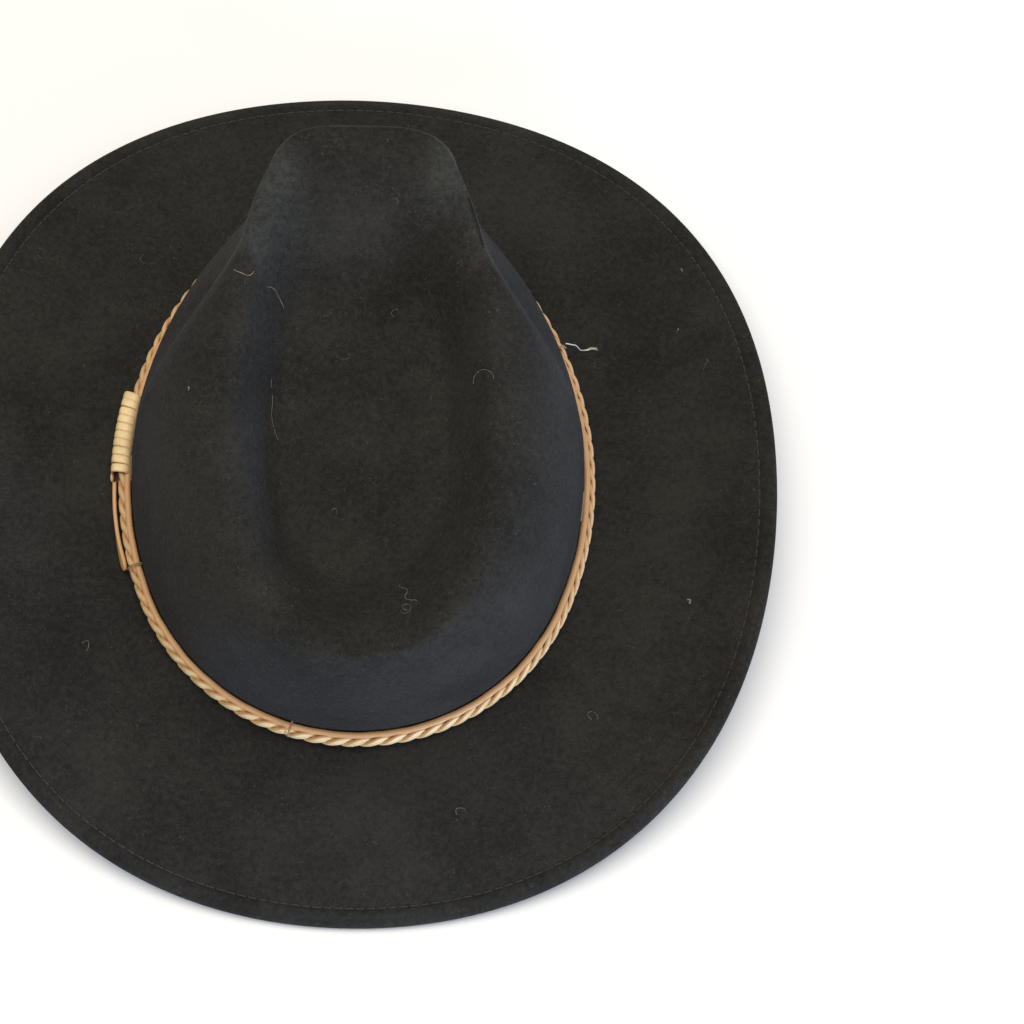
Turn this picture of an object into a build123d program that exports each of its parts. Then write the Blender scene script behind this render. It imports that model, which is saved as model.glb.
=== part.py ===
"""Wide-brimmed felt hat with a teardrop crown, a wired brim hem, a leather sweatband
and a plaited lace band with a sliding wrapped keeper.

Millimetres. +Z is up, +Y is the front of the hat and +X is the wearer's right.
The origin is on the surface the hat stands on, under the middle of its brim.
"""
from build123d import *

import os
from math import asin, atan2, cos, degrees, exp, hypot, pi, radians, sin, sqrt, tan

# Head oval: outer face of the felt where the crown meets the brim
OVAL_HALF_WIDTH = 85.8
OVAL_FRONT = 111.0
OVAL_BACK = 100.0
OVAL_SIDE_RADIUS = 129.4

# Felt
FELT = 2.2
BREAK_HEIGHT = 17.0
CREST_HEIGHT = 95.0
CREST_SLOPE = 0.12
CREST_HALF_WIDTH = 49.0
CREST_FRONT = 98.5
CREST_BACK = 92.0
NOSE_SHARPNESS = 4.5
TAIL_SHARPNESS = 2.4
NOSE_TAPER = 0.27
WALL_ROUNDNESS = 2.2
PINCH_DEPTH = 0.85
PINCH_START = 3.0
PINCH_FULL = 20.0
PINCH_FADE = 40.0
PINCH_END = 68.0
PINCH_ONSET = 0.2
PINCH_RISE = 0.65
DENT_DEPTH = 22.0
SPOKES = 32

# Brim
BRIM_HALF_WIDTH = 159.5
BRIM_HALF_LENGTH = 169.2
BRIM_SQUARENESS = 0.038
BRIM_SPOKES = 48
SIDE_RISE = 19.0
SIDE_SPREAD = 2.4
END_DROP = 12.0
HEM_WIDTH = 7.5
HEM_THICKNESS = 5.0
WIRE = 1.4
WIRE_INSET = 3.2
FERRULE_LENGTH = 16.0
STITCH_INSET = 6.6
THREAD = 0.5
WIRE_DEPTH = 1.8
FERRULE_WALL = 0.4
BRIM_ROOM = 60.0

# Sweatband, set inside the felt
SWEAT_GAP = 0.6
SWEAT_THICKNESS = 1.1
SWEAT_LOW = 0.012
SWEAT_HIGH = 0.43
REED_RADIUS = 0.9
REED_INSET = 3.4
TAPE_INSET = 2.32
TAPE_THICKNESS = 0.35
TAPE_HEIGHT = 5.0
SEAM_HEIGHT = 3.0
BOW_LOW = 4.0
BOW_WIDTH = 5.0
BOW_LOOP = 6.2
BOW_THICKNESS = 4.2
BOW_Y = -93.4

# Plaited band
BAND_GAP = 1.6
LACE_THICKNESS = 3.8
LACE_WIDTH = 2.2
LACE_SPACE = 0.2
BAND_BASE = 2.7
BAND_TOP = BAND_BASE + 3 * LACE_WIDTH + 2 * LACE_SPACE

# Keeper, wound round the band on the wearer's left
KEEPER_LENGTH = 35.0
KEEPER_MIDDLE = 13.5
KEEPER_TURNS = 10
KEEPER_THICKNESS = 7.7
KEEPER_HEIGHT = 10.4
KEEPER_ROUNDING = 3.0
BORE_THICKNESS = 5.7
BORE_HEIGHT = 8.0
BORE_ROUNDING = 0.8
KEEPER_OFFSET = 4.2
BAND_MIDDLE = 6.2
TURN_RELIEF = 0.35
TURN_SPACE = 0.12

# Free end of the keeper's lace
TAIL_WIDTH = 3.8
TAIL_THICKNESS = 1.5
TAIL_OFFSET = 6.6
TAIL_HEIGHT = 3.9
TAIL_ROUTE = ((0, 0), (9, 0.25), (18, 0.1), (27, 0.2), (35, -0.1))

# Tacks
TACK_LOW = 12.9
TACK_WIDTH = 1.3
TACK_PROUD = 0.4
TACK_SUNK = 0.2
TACK_REACH = 3.4
BAND_TACK_ANGLES = (24.5, 197.0, 254.5)


def end_radius(half_width, side_radius, half_length):
    """Radius of the end arc that is tangent to both side arcs of an oval."""
    shift = side_radius - half_width
    return (shift**2 + half_length**2 - side_radius**2) / (2 * (half_length - side_radius))


def oval_point(angle, offset=0.0):
    """Point of the head oval whose outward normal points along angle (radians)."""
    shift = OVAL_SIDE_RADIUS - OVAL_HALF_WIDTH
    half = OVAL_FRONT if sin(angle) > 0 else OVAL_BACK
    radius = end_radius(OVAL_HALF_WIDTH, OVAL_SIDE_RADIUS, half)
    centre = half - radius
    if atan2(abs(sin(angle)), abs(cos(angle))) < atan2(centre, shift):
        x = (OVAL_SIDE_RADIUS + offset) * cos(angle) - (shift if cos(angle) > 0 else -shift)
        return x, (OVAL_SIDE_RADIUS + offset) * sin(angle)
    y = centre if sin(angle) > 0 else -centre
    return (radius + offset) * cos(angle), y + (radius + offset) * sin(angle)


def crest_point(angle):
    """Point of the crown's top ridge: a superellipse, blunt and narrow at the nose."""
    sharpness = NOSE_SHARPNESS if sin(angle) > 0 else TAIL_SHARPNESS
    power = 2 / sharpness
    along = abs(sin(angle)) ** power * (1 if sin(angle) > 0 else -1)
    across = abs(cos(angle)) ** power * (1 if cos(angle) > 0 else -1)
    width = CREST_HALF_WIDTH * (1 - NOSE_TAPER * max(0.0, along) ** 1.5)
    return width * across, (CREST_FRONT if sin(angle) > 0 else CREST_BACK) * along


def smooth_step(value):
    clipped = min(1.0, max(0.0, value))
    return clipped * clipped * (3 - 2 * clipped)


def wall_share(level, angle):
    """How much of the way from ridge to head oval the wall stands out at a level from 0 to 1."""
    bulge = sqrt(max(0.0, 1 - level**WALL_ROUNDNESS))
    side = degrees(atan2(sin(angle), abs(cos(angle))))
    pinch = smooth_step((side - PINCH_START) / (PINCH_FULL - PINCH_START))
    pinch *= 1 - smooth_step((side - PINCH_FADE) / (PINCH_END - PINCH_FADE))
    return bulge * (1 - PINCH_DEPTH * pinch * smooth_step((level - PINCH_ONSET) / PINCH_RISE))


def inset_points(points, inset):
    """Points of a closed counter-clockwise outline, moved inwards along its normals."""
    moved = []
    for here, point in enumerate(points):
        before = points[here - 1]
        after = points[(here + 1) % len(points)]
        along = (after[0] - before[0], after[1] - before[1])
        size = hypot(*along)
        moved.append((point[0] - inset * along[1] / size, point[1] + inset * along[0] / size))
    return moved


def crown_outline(level, inset):
    """Outline of the crown's wall at a level from 0, the brim, to 1, the ridge."""
    points = []
    for step in range(SPOKES):
        angle = 2 * pi * (step + 0.5) / SPOKES
        base = oval_point(angle)
        crest = crest_point(angle)
        share = wall_share(level, angle)
        points.append([c + (b - c) * share for b, c in zip(base, crest)])
    return inset_points(points, inset)


def dent_outline(share, inset):
    """Outline of the dent in the crown's top, share being its size against the ridge."""
    points = [crest_point(2 * pi * (step + 0.5) / SPOKES) for step in range(SPOKES)]
    return inset_points([(x * share, y * share) for x, y in points], inset)


def level_plane(level, drop):
    """Plane of one crown section: it tips up towards the front as it climbs."""
    slope = CREST_SLOPE * level
    height = BREAK_HEIGHT + level * CREST_HEIGHT - drop
    return Plane(origin=(0, 0, height), x_dir=(1, 0, 0), z_dir=(0, -slope, 1))


def section_sketch(points, level, drop):
    """Closed smooth outline on its level's plane, stretched to keep its plan."""
    stretch = hypot(1, CREST_SLOPE * level)
    with BuildSketch(level_plane(level, drop)) as sketch:
        with BuildLine():
            Spline(*[(x, y * stretch) for x, y in points], periodic=True)
        make_face()
    return sketch.sketch


WALL_STEPS = 18
WALL_LEVELS = [1 - (1 - step / WALL_STEPS) ** 1.8 for step in range(WALL_STEPS + 1)]
DENT_STEPS = ((0.985, 0.0), (0.93, 0.8), (0.85, 4.2), (0.76, 11.0), (0.66, 18.0), (0.54, DENT_DEPTH))


def four_arcs(half_width, side_radius, front, back):
    """Closed oval of two side arcs and two end arcs, all tangent."""
    shift = side_radius - half_width
    front_radius = end_radius(half_width, side_radius, front)
    back_radius = end_radius(half_width, side_radius, back)
    front_turn = degrees(atan2(front - front_radius, shift))
    back_turn = degrees(atan2(back - back_radius, shift))
    CenterArc((-shift, 0), side_radius, -back_turn, front_turn + back_turn)
    CenterArc((0, front - front_radius), front_radius, front_turn, 180 - 2 * front_turn)
    CenterArc((shift, 0), side_radius, 180 - front_turn, front_turn + back_turn)
    CenterArc((0, back_radius - back), back_radius, 180 + back_turn, 180 - 2 * back_turn)


def head_oval(inset):
    """Curve parallel to the head oval, drawn into the current line."""
    four_arcs(OVAL_HALF_WIDTH - inset, OVAL_SIDE_RADIUS - inset, OVAL_FRONT - inset, OVAL_BACK - inset)


def brim_oval(inset):
    """Curve parallel to the brim's edge, an ellipse pushed out towards its four corners."""
    points = []
    for step in range(BRIM_SPOKES):
        angle = 2 * pi * step / BRIM_SPOKES
        radius = 1 / hypot(cos(angle) / BRIM_HALF_WIDTH, sin(angle) / BRIM_HALF_LENGTH)
        radius *= 1 + BRIM_SQUARENESS * sin(2 * angle) ** 2
        points.append((radius * cos(angle), radius * sin(angle)))
    Spline(*inset_points(points, inset), periodic=True)


def ring(oval, height, outer_inset, inner_inset):
    """Flat ring between two curves parallel to an oval."""
    with BuildSketch(Plane.XY.offset(height)) as sketch:
        with BuildLine():
            oval(outer_inset)
        make_face()
        with BuildLine():
            oval(inner_inset)
        make_face(mode=Mode.SUBTRACT)
    return sketch.sketch


def brim_height(x, y):
    """Height of the brim's top face: flat at the crown, up at the sides, down at both ends."""
    radius = hypot(x, y)
    if radius < OVAL_HALF_WIDTH:
        return BREAK_HEIGHT
    across = abs(x) / radius
    along = y / radius
    head_end = OVAL_FRONT if y > 0 else OVAL_BACK
    head = 1 / hypot(across / OVAL_HALF_WIDTH, along / head_end)
    edge = 1 / hypot(across / BRIM_HALF_WIDTH, along / BRIM_HALF_LENGTH)
    edge *= 1 + BRIM_SQUARENESS * (2 * across * along) ** 2
    outwards = max(0.0, (radius - head) / (edge - head))
    side = across**SIDE_SPREAD
    return BREAK_HEIGHT + (SIDE_RISE * side - END_DROP * (1 - side)) * outwards**2


def brim_slab(top, bottom):
    """Slab that follows the brim, between two depths under its top face."""
    reach = 180
    steps = 40
    grid = []
    for column in range(steps + 1):
        x = -reach + 2 * reach * column / steps
        row = []
        for line in range(steps + 1):
            y = -reach + 2 * reach * line / steps
            row.append(Vector(x, y, brim_height(x, y) - top))
        grid.append(row)
    face = Face.make_surface_from_array_of_points(grid, tol=0.02)
    return Solid.extrude(face, Vector(0, 0, top - bottom))


def wall_shell(low, high, outer_inset, inner_inset):
    """Thin wall between two levels of the crown, at two insets from the felt's outer face."""
    levels = [low + (high - low) * step / 4 for step in range(5)]
    loft([section_sketch(crown_outline(level, outer_inset), level, 0) for level in levels], ruled=True)
    loft(
        [section_sketch(crown_outline(level, inner_inset), level, 0) for level in levels],
        ruled=True,
        mode=Mode.SUBTRACT,
    )


os.makedirs("parts", exist_ok=True)

# Hollow of the crown, one felt thickness inside its outer form
with BuildPart() as crown_hollow:
    loft(
        [section_sketch(crown_outline(level, FELT), level, FELT * level) for level in WALL_LEVELS],
        ruled=True,
    )
    loft(
        [section_sketch(dent_outline(share, -FELT), 1, depth + FELT) for share, depth in DENT_STEPS],
        ruled=True,
        mode=Mode.SUBTRACT,
    )

# Felt crown: the outer form, dented at the top, less the hollow
with BuildPart() as felt_crown:
    loft([section_sketch(crown_outline(level, 0), level, 0) for level in WALL_LEVELS], ruled=True)
    loft(
        [section_sketch(dent_outline(share, 0), 1, depth) for share, depth in DENT_STEPS],
        ruled=True,
        mode=Mode.SUBTRACT,
    )
    add(crown_hollow.part, mode=Mode.SUBTRACT)
felt_crown.part.label = "felt_crown"
export_step(felt_crown.part, "parts/felt_crown.step")

# Whole brim, as thick as the folded hem
with BuildPart() as brim_blank:
    with BuildSketch():
        with BuildLine():
            brim_oval(0)
        make_face()
        with BuildLine():
            head_oval(FELT)
        make_face(mode=Mode.SUBTRACT)
    extrude(amount=BRIM_ROOM)
    add(brim_slab(0, HEM_THICKNESS), mode=Mode.INTERSECT)

# Everything under the single layer of felt, in from the hem
with BuildPart() as under_brim:
    with BuildSketch():
        with BuildLine():
            brim_oval(HEM_WIDTH)
        make_face()
    extrude(amount=BRIM_ROOM)
    add(brim_slab(FELT, HEM_THICKNESS + FELT), mode=Mode.INTERSECT)

# Brim wire, a ring inside the hem
with BuildPart() as brim_wire:
    extrude(ring(brim_oval, 0, WIRE_INSET, WIRE_INSET + WIRE), amount=BRIM_ROOM)
    add(brim_slab(WIRE_DEPTH, WIRE_DEPTH + WIRE), mode=Mode.INTERSECT)
brim_wire.part.label = "brim_wire"
export_step(brim_wire.part, "parts/brim_wire.step")

# Ferrule that holds the wire's two ends together at the back
with BuildPart() as wire_ferrule:
    sleeve = (WIRE_INSET - FERRULE_WALL, WIRE_INSET + WIRE + FERRULE_WALL)
    extrude(ring(brim_oval, 0, *sleeve), amount=BRIM_ROOM)
    with Locations((0, -BRIM_HALF_LENGTH)):
        Box(FERRULE_LENGTH, 4 * HEM_WIDTH, 2 * BRIM_ROOM, mode=Mode.INTERSECT)
    add(
        brim_slab(WIRE_DEPTH - FERRULE_WALL, WIRE_DEPTH + WIRE + FERRULE_WALL),
        mode=Mode.INTERSECT,
    )
    add(brim_wire.part, mode=Mode.SUBTRACT)
wire_ferrule.part.label = "wire_ferrule"
export_step(wire_ferrule.part, "parts/wire_ferrule.step")

# Felt brim: one layer out to the hem, where it is folded under round the wire
with BuildPart() as felt_brim:
    add(brim_blank.part)
    add(under_brim.part, mode=Mode.SUBTRACT)
    add(brim_wire.part, mode=Mode.SUBTRACT)
    add(wire_ferrule.part, mode=Mode.SUBTRACT)
felt_brim.part.label = "felt_brim"
export_step(felt_brim.part, "parts/felt_brim.step")

# Thread of the hem's stitching, where it lies on top of the brim
with BuildPart() as hem_thread:
    extrude(ring(brim_oval, 0, STITCH_INSET, STITCH_INSET + THREAD), amount=BRIM_ROOM)
    add(brim_slab(-THREAD, 0), mode=Mode.INTERSECT)
hem_thread.part.label = "hem_thread"
export_step(hem_thread.part, "parts/hem_thread.step")

# Sweatband: a leather wall that leans with the felt
with BuildPart() as sweatband:
    wall_shell(SWEAT_LOW, SWEAT_HIGH, FELT + SWEAT_GAP, FELT + SWEAT_GAP + SWEAT_THICKNESS)
sweatband.part.label = "sweatband"
export_step(sweatband.part, "parts/sweatband.step")

# Reed in the sweatband's lower edge
with BuildPart() as sweatband_reed:
    with BuildLine(Plane.XY.offset(BREAK_HEIGHT)) as reed_path:
        head_oval(REED_INSET)
    with BuildSketch(Plane(reed_path.line @ 0, z_dir=reed_path.line % 0)):
        Circle(REED_RADIUS)
    sweep(path=reed_path.line)
sweatband_reed.part.label = "sweatband_reed"
export_step(sweatband_reed.part, "parts/sweatband_reed.step")

# Tape that sews the sweatband to the felt
with BuildPart() as reed_tape:
    extrude(ring(head_oval, BREAK_HEIGHT + 1, TAPE_INSET, TAPE_INSET + TAPE_THICKNESS), amount=TAPE_HEIGHT)
reed_tape.part.label = "reed_tape"
export_step(reed_tape.part, "parts/reed_tape.step")

# Thread of the sweatband's seam, on its inner face
with BuildPart() as sweatband_thread:
    inner_face = FELT + SWEAT_GAP + SWEAT_THICKNESS + 0.1
    extrude(ring(head_oval, BREAK_HEIGHT + SEAM_HEIGHT, inner_face, inner_face + THREAD), amount=THREAD)
sweatband_thread.part.label = "sweatband_thread"
export_step(sweatband_thread.part, "parts/sweatband_thread.step")

# Tape behind the sweatband's rear join, and a blank size tab beside it
for name, low, high, start, width in (
    ("rear_seam_tape", 0.08, 0.38, -6, 12),
    ("size_tab", 0.10, 0.32, 14, 22),
):
    with BuildPart() as slip:
        wall_shell(low, high, TAPE_INSET, TAPE_INSET + TAPE_THICKNESS)
        with Locations((start + width / 2, -OVAL_BACK, BREAK_HEIGHT)):
            Box(width, OVAL_BACK, CREST_HEIGHT, mode=Mode.INTERSECT)
    slip.part.label = name
    export_step(slip.part, f"parts/{name}.step")

# Bow over the rear join, on the sweatband's inner face
with BuildPart() as rear_bow:
    with BuildSketch(Plane.XY.offset(BREAK_HEIGHT + BOW_LOW)):
        with Locations((-BOW_LOOP, BOW_Y), (BOW_LOOP, BOW_Y)):
            Ellipse(BOW_LOOP, BOW_THICKNESS / 2)
            Ellipse(BOW_LOOP - 1, BOW_THICKNESS / 2 - 1, mode=Mode.SUBTRACT)
        with Locations((0, BOW_Y)):
            RectangleRounded(5, BOW_THICKNESS - 0.8, 1.2)
    extrude(amount=BOW_WIDTH)
rear_bow.part.label = "rear_bow"
export_step(rear_bow.part, "parts/rear_bow.step")

# The three laces of the plaited band, drawn as three plain rings one above another
for name, row in (("band_lace_lower", 0), ("band_lace_middle", 1), ("band_lace_upper", 2)):
    with BuildPart() as lace:
        height = BREAK_HEIGHT + BAND_BASE + row * (LACE_WIDTH + LACE_SPACE)
        extrude(ring(head_oval, height, -BAND_GAP - LACE_THICKNESS, -BAND_GAP), amount=LACE_WIDTH)
    lace.part.label = name
    export_step(lace.part, f"parts/{name}.step")

# Keeper: lace wound round the band, bent to the arc of the head oval's side
side_centre = OVAL_SIDE_RADIUS - OVAL_HALF_WIDTH
keeper_radius = OVAL_SIDE_RADIUS + KEEPER_OFFSET
keeper_turn = degrees(KEEPER_LENGTH / keeper_radius)
keeper_start = 180 - degrees(asin(KEEPER_MIDDLE / keeper_radius)) - keeper_turn / 2
turn_pitch = keeper_turn / KEEPER_TURNS
band_axis = Axis((side_centre, 0, 0), (0, 0, 1))


def keeper_plane(turn):
    """Plane across the keeper, at an angle about the centre of the oval's side arc."""
    x, y = cos(radians(turn)), sin(radians(turn))
    middle = (side_centre + keeper_radius * x, keeper_radius * y, BREAK_HEIGHT + BAND_MIDDLE)
    return Plane(middle, x_dir=(x, y, 0), z_dir=(-y, x, 0))


with BuildPart() as keeper_wrap:
    with BuildSketch(keeper_plane(keeper_start)):
        RectangleRounded(
            KEEPER_THICKNESS - 2 * TURN_RELIEF, KEEPER_HEIGHT - 2 * TURN_RELIEF, KEEPER_ROUNDING - TURN_RELIEF
        )
        RectangleRounded(BORE_THICKNESS, BORE_HEIGHT, BORE_ROUNDING, mode=Mode.SUBTRACT)
    revolve(axis=band_axis, revolution_arc=keeper_turn)
    for turn in range(KEEPER_TURNS):
        with BuildSketch(keeper_plane(keeper_start + (turn + TURN_SPACE / 2) * turn_pitch)):
            RectangleRounded(KEEPER_THICKNESS, KEEPER_HEIGHT, KEEPER_ROUNDING)
            RectangleRounded(BORE_THICKNESS, BORE_HEIGHT, BORE_ROUNDING, mode=Mode.SUBTRACT)
        revolve(axis=band_axis, revolution_arc=turn_pitch * (1 - TURN_SPACE))
keeper_wrap.part.label = "keeper_wrap"
export_step(keeper_wrap.part, "parts/keeper_wrap.step")

# Free flat end of the keeper's lace, lying back along the band
tail_start = keeper_start + keeper_turn
tail_points = []
for along, out in TAIL_ROUTE:
    turn = radians(tail_start + degrees(along / (OVAL_SIDE_RADIUS + TAIL_OFFSET)))
    radius = OVAL_SIDE_RADIUS + TAIL_OFFSET + out
    tail_points.append(Vector(side_centre + radius * cos(turn), radius * sin(turn)))
tail_radii = []
for before, here, after in zip(tail_points, tail_points[1:], tail_points[2:]):
    run = min((here - before).length, (after - here).length)
    turn = radians((here - before).get_angle(after - here))
    tail_radii.append(0.45 * run / tan(turn / 2))
print("lace tail radii", [round(radius, 1) for radius in tail_radii])
with BuildPart() as lace_tail:
    with BuildLine(Plane.XY.offset(BREAK_HEIGHT + TAIL_HEIGHT)) as tail_path:
        FilletPolyline(*[(point.X, point.Y) for point in tail_points], radius=tail_radii)
    with BuildSketch(Plane(tail_path.line @ 0, x_dir=(0, 0, 1), z_dir=tail_path.line % 0)):
        Rectangle(TAIL_WIDTH, TAIL_THICKNESS)
    sweep(path=tail_path.line)
print("lace tail length", round(tail_path.wires()[0].length, 1), "volume", round(lace_tail.part.volume))
lace_tail.part.label = "lace_tail"
export_step(lace_tail.part, "parts/lace_tail.step")

# Bar tacks in the crown's sides, just above the band
for name, side, middle, length in (
    ("bar_tack_right", 1, -11.0, 11.5),
    ("bar_tack_left", -1, -1.5, 9.5),
):
    with BuildPart() as tack:
        extrude(ring(head_oval, BREAK_HEIGHT + TACK_LOW, -TACK_PROUD, TACK_SUNK), amount=TACK_WIDTH)
        with Locations((side * OVAL_HALF_WIDTH, middle, BREAK_HEIGHT)):
            Box(OVAL_HALF_WIDTH, length, CREST_HEIGHT, mode=Mode.INTERSECT)
    tack.part.label = name
    export_step(tack.part, f"parts/{name}.step")

# Thread tacks that hold the band on the crown, over its upper edge
with BuildPart() as band_tacks:
    for angle in BAND_TACK_ANGLES:
        x, y = oval_point(radians(angle), TACK_REACH / 2)
        with Locations(Location((x, y, BREAK_HEIGHT + BAND_TOP + THREAD / 2), (0, 0, angle))):
            Box(TACK_REACH, 2 * THREAD, THREAD)
band_tacks.part.label = "band_tacks"
export_step(band_tacks.part, "parts/band_tacks.step")

# Loose end of the right-hand tack's thread, over the band and down to the brim
loose_angle = radians(BAND_TACK_ANGLES[0])
x, y = oval_point(loose_angle)
with BuildPart() as loose_thread:
    outwards = (cos(loose_angle), sin(loose_angle), 0)
    across = (sin(loose_angle), -cos(loose_angle), 0)
    with BuildLine(Plane((x, y, BREAK_HEIGHT), x_dir=outwards, z_dir=across)) as thread_path:
        FilletPolyline(
            (TACK_REACH + 0.3, BAND_TOP + 0.9), (6.8, 10.2), (10.5, 2.8), (15.5, 1.7), radius=[1.5, 3]
        )
    with BuildSketch(Plane(thread_path.line @ 0, z_dir=thread_path.line % 0)):
        Circle(THREAD / 2)
    sweep(path=thread_path.line)
loose_thread.part.label = "loose_thread"
export_step(loose_thread.part, "parts/loose_thread.step")
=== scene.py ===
"""Wide-brimmed felt hat: blocked wool felt, stitched hem, plaited lace band, wound keeper.

Every size is in metres, in the hat's own frame: +Z up, +Y the front, +X the wearer's right.
"""
from math import asin, cos, pi, radians, sin

import bpy
import numpy as np
from bpy.props import FloatProperty, FloatVectorProperty, IntProperty, PointerProperty
from mathutils import Matrix, Vector


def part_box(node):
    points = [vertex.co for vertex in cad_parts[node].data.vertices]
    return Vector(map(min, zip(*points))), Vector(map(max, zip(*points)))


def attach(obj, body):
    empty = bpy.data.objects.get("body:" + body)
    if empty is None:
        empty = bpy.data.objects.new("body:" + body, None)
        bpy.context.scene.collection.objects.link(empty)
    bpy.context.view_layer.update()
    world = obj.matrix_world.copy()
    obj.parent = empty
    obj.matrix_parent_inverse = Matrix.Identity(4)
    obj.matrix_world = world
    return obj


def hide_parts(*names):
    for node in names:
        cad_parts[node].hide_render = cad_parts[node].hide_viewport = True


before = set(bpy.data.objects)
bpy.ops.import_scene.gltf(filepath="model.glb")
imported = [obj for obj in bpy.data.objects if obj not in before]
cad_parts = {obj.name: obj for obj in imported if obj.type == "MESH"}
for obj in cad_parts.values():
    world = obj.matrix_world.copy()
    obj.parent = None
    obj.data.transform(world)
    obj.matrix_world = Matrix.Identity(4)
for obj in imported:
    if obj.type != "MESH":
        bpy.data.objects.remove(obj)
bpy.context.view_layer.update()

bl_info = {
    "name": "Felt hat",
    "version": (1, 0, 0),
    "blender": (4, 5, 0),
    "location": "3D View > Sidebar > Felt hat",
    "description": "Makes a wide-brimmed felt hat with a plaited lace band",
    "category": "Add Mesh",
}

MM = 0.001

# Driving sizes, read from the frame
CROWN_LOW, CROWN_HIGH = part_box("felt_crown")
BRIM_LOW, BRIM_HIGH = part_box("felt_brim")
LACE_LOW, LACE_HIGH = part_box("band_lace_lower")
BAND_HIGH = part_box("band_lace_upper")[1]
KEEPER_LOW, KEEPER_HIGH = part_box("keeper_wrap")

OVAL_HALF_WIDTH = CROWN_HIGH.x
OVAL_FRONT = CROWN_HIGH.y
OVAL_BACK = -CROWN_LOW.y
BRIM_HALF_WIDTH = BRIM_HIGH.x
BRIM_HALF_LENGTH = BRIM_HIGH.y
BREAK_HEIGHT = CROWN_LOW.z
BAND_LOW = LACE_LOW.z - BREAK_HEIGHT
BAND_TOP = BAND_HIGH.z - BREAK_HEIGHT
BAND_OUT = LACE_HIGH.x - OVAL_HALF_WIDTH

# Form of the block, as the CAD model has it; the pinch's directions are in degrees from the side
OVAL_SIDE_RADIUS = 129.4 * MM
BRIM_SQUARENESS = 0.038
CREST_HEIGHT = 95.0 * MM
CREST_SLOPE = 0.12
CREST_HALF_WIDTH = 49.0 * MM
CREST_FRONT = 98.5 * MM
CREST_BACK = 92.0 * MM
NOSE_SHARPNESS = 4.5
TAIL_SHARPNESS = 2.4
NOSE_TAPER = 0.27
WALL_ROUNDNESS = 2.2
PINCH_DEPTH = 0.85
PINCH_START = 3.0
PINCH_FULL = 20.0
PINCH_FADE = 40.0
PINCH_END = 68.0
PINCH_ONSET = 0.2
PINCH_RISE = 0.65
NOSE_DIRECTION = 90
FALL_POWER = 1.35
VALLEY_SHARE = 0.6
VALLEY_SHIFT = 0.3
FRONT_SHALLOWING = 0.12
SIDE_RISE = BRIM_HIGH.z - BREAK_HEIGHT
SIDE_SPREAD = 2.4
DENT_ROWS = 32
WALL_ROWS = 45
HEM_THICKNESS = 5.0 * MM
END_DROP = BREAK_HEIGHT - HEM_THICKNESS - BRIM_LOW.z
KEEPER_OFFSET = 4.2 * MM
KEEPER_MIDDLE = 13.5 * MM
TAIL_OFFSET = 6.6 * MM
TAIL_HEIGHT = 3.9 * MM
TAIL_ROUTE = ((0, 0), (9, 0.25), (18, 0.1), (27, 0.2), (35, -0.1))
BAND_TACK_ANGLES = (24.5, 197.0, 254.5)
BAR_TACKS = (("bar_tack_right", 1, -11.0, 11.5), ("bar_tack_left", -1, -1.5, 9.5))


# Lace, thread and cloth
ROUND_STEPS = 6000
PLAIT_STEPS = 36
PLAIN_STEPS = 1600
LOBE_FLATNESS = 1.3
LOBE_TILT = 0.35
PLAIT_CLEARANCE = 0.2 * MM
PLAIT_INSET = 0.35 * MM
TURN_STEPS = 40
TURN_DRIFT = 0.12
TURN_FLATNESS = 3.0
KEEPER_HALF_DEPTH = 3.85 * MM
LOOP_RISE = 0.9 * MM
LOOP_DROP = 2.4 * MM
BAR_THREAD_PITCH = 0.62 * MM
THREAD_PITCH = 1.4 * MM
TAPE_THREADS = 1400.0
TAB_THREADS = 2000.0
# Strands of the loose end: where each leaves the first, its bend and lift, its radius and taper (mm)
FRAYS = ((0.0, 0.0, 0.0, 0.24, 0.1), (0.55, 0.16, 0.05, 0.11, 0.06), (0.62, -0.2, 0.12, 0.11, 0.06))


def size(name, description, millimetres):
    """A length that a user may change."""
    return FloatProperty(name=name, description=description, default=millimetres * MM, unit="LENGTH")


def colour(name, description, red, green, blue):
    """A colour that a user may change."""
    return FloatVectorProperty(
        name=name, description=description, default=(red, green, blue, 1.0), size=4, subtype="COLOR",
        min=0.0, max=1.0,
    )


class FeltSizes(bpy.types.PropertyGroup):
    """Sizes of the felt body."""

    thickness: size("Felt thickness", "Thickness of the felt", 2.2)
    dent_depth: size("Dent depth", "Depth of the valley in the crown's top, under the ridge", 22.0)
    floor_rise: size("Floor rise", "How far the middle of the dent stands above its valley", 6.5)
    nose_dip: size("Nose dip", "How far the ridge dips at the middle of the nose", 0.8)
    nose_lean: size("Nose lean", "How far the nose leans to the wearer's left", 3.0)
    break_radius: size("Break radius", "Radius of the felt where the crown meets the brim", 2.5)
    hem_width: size("Hem width", "Width of the felt folded under at the brim's edge", 7.5)
    stitch_inset: size("Stitch inset", "Distance of the hem's stitching from the edge", 6.6)
    stitch_pitch: size("Stitch pitch", "Distance from one hem stitch to the next", 4.0)
    unevenness: size("Unevenness", "How far the hand-shaped felt strays from its block", 0.8)
    fibres: IntProperty(name="Fibres", description="Number of loose fibres on the felt", default=13500)


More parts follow.
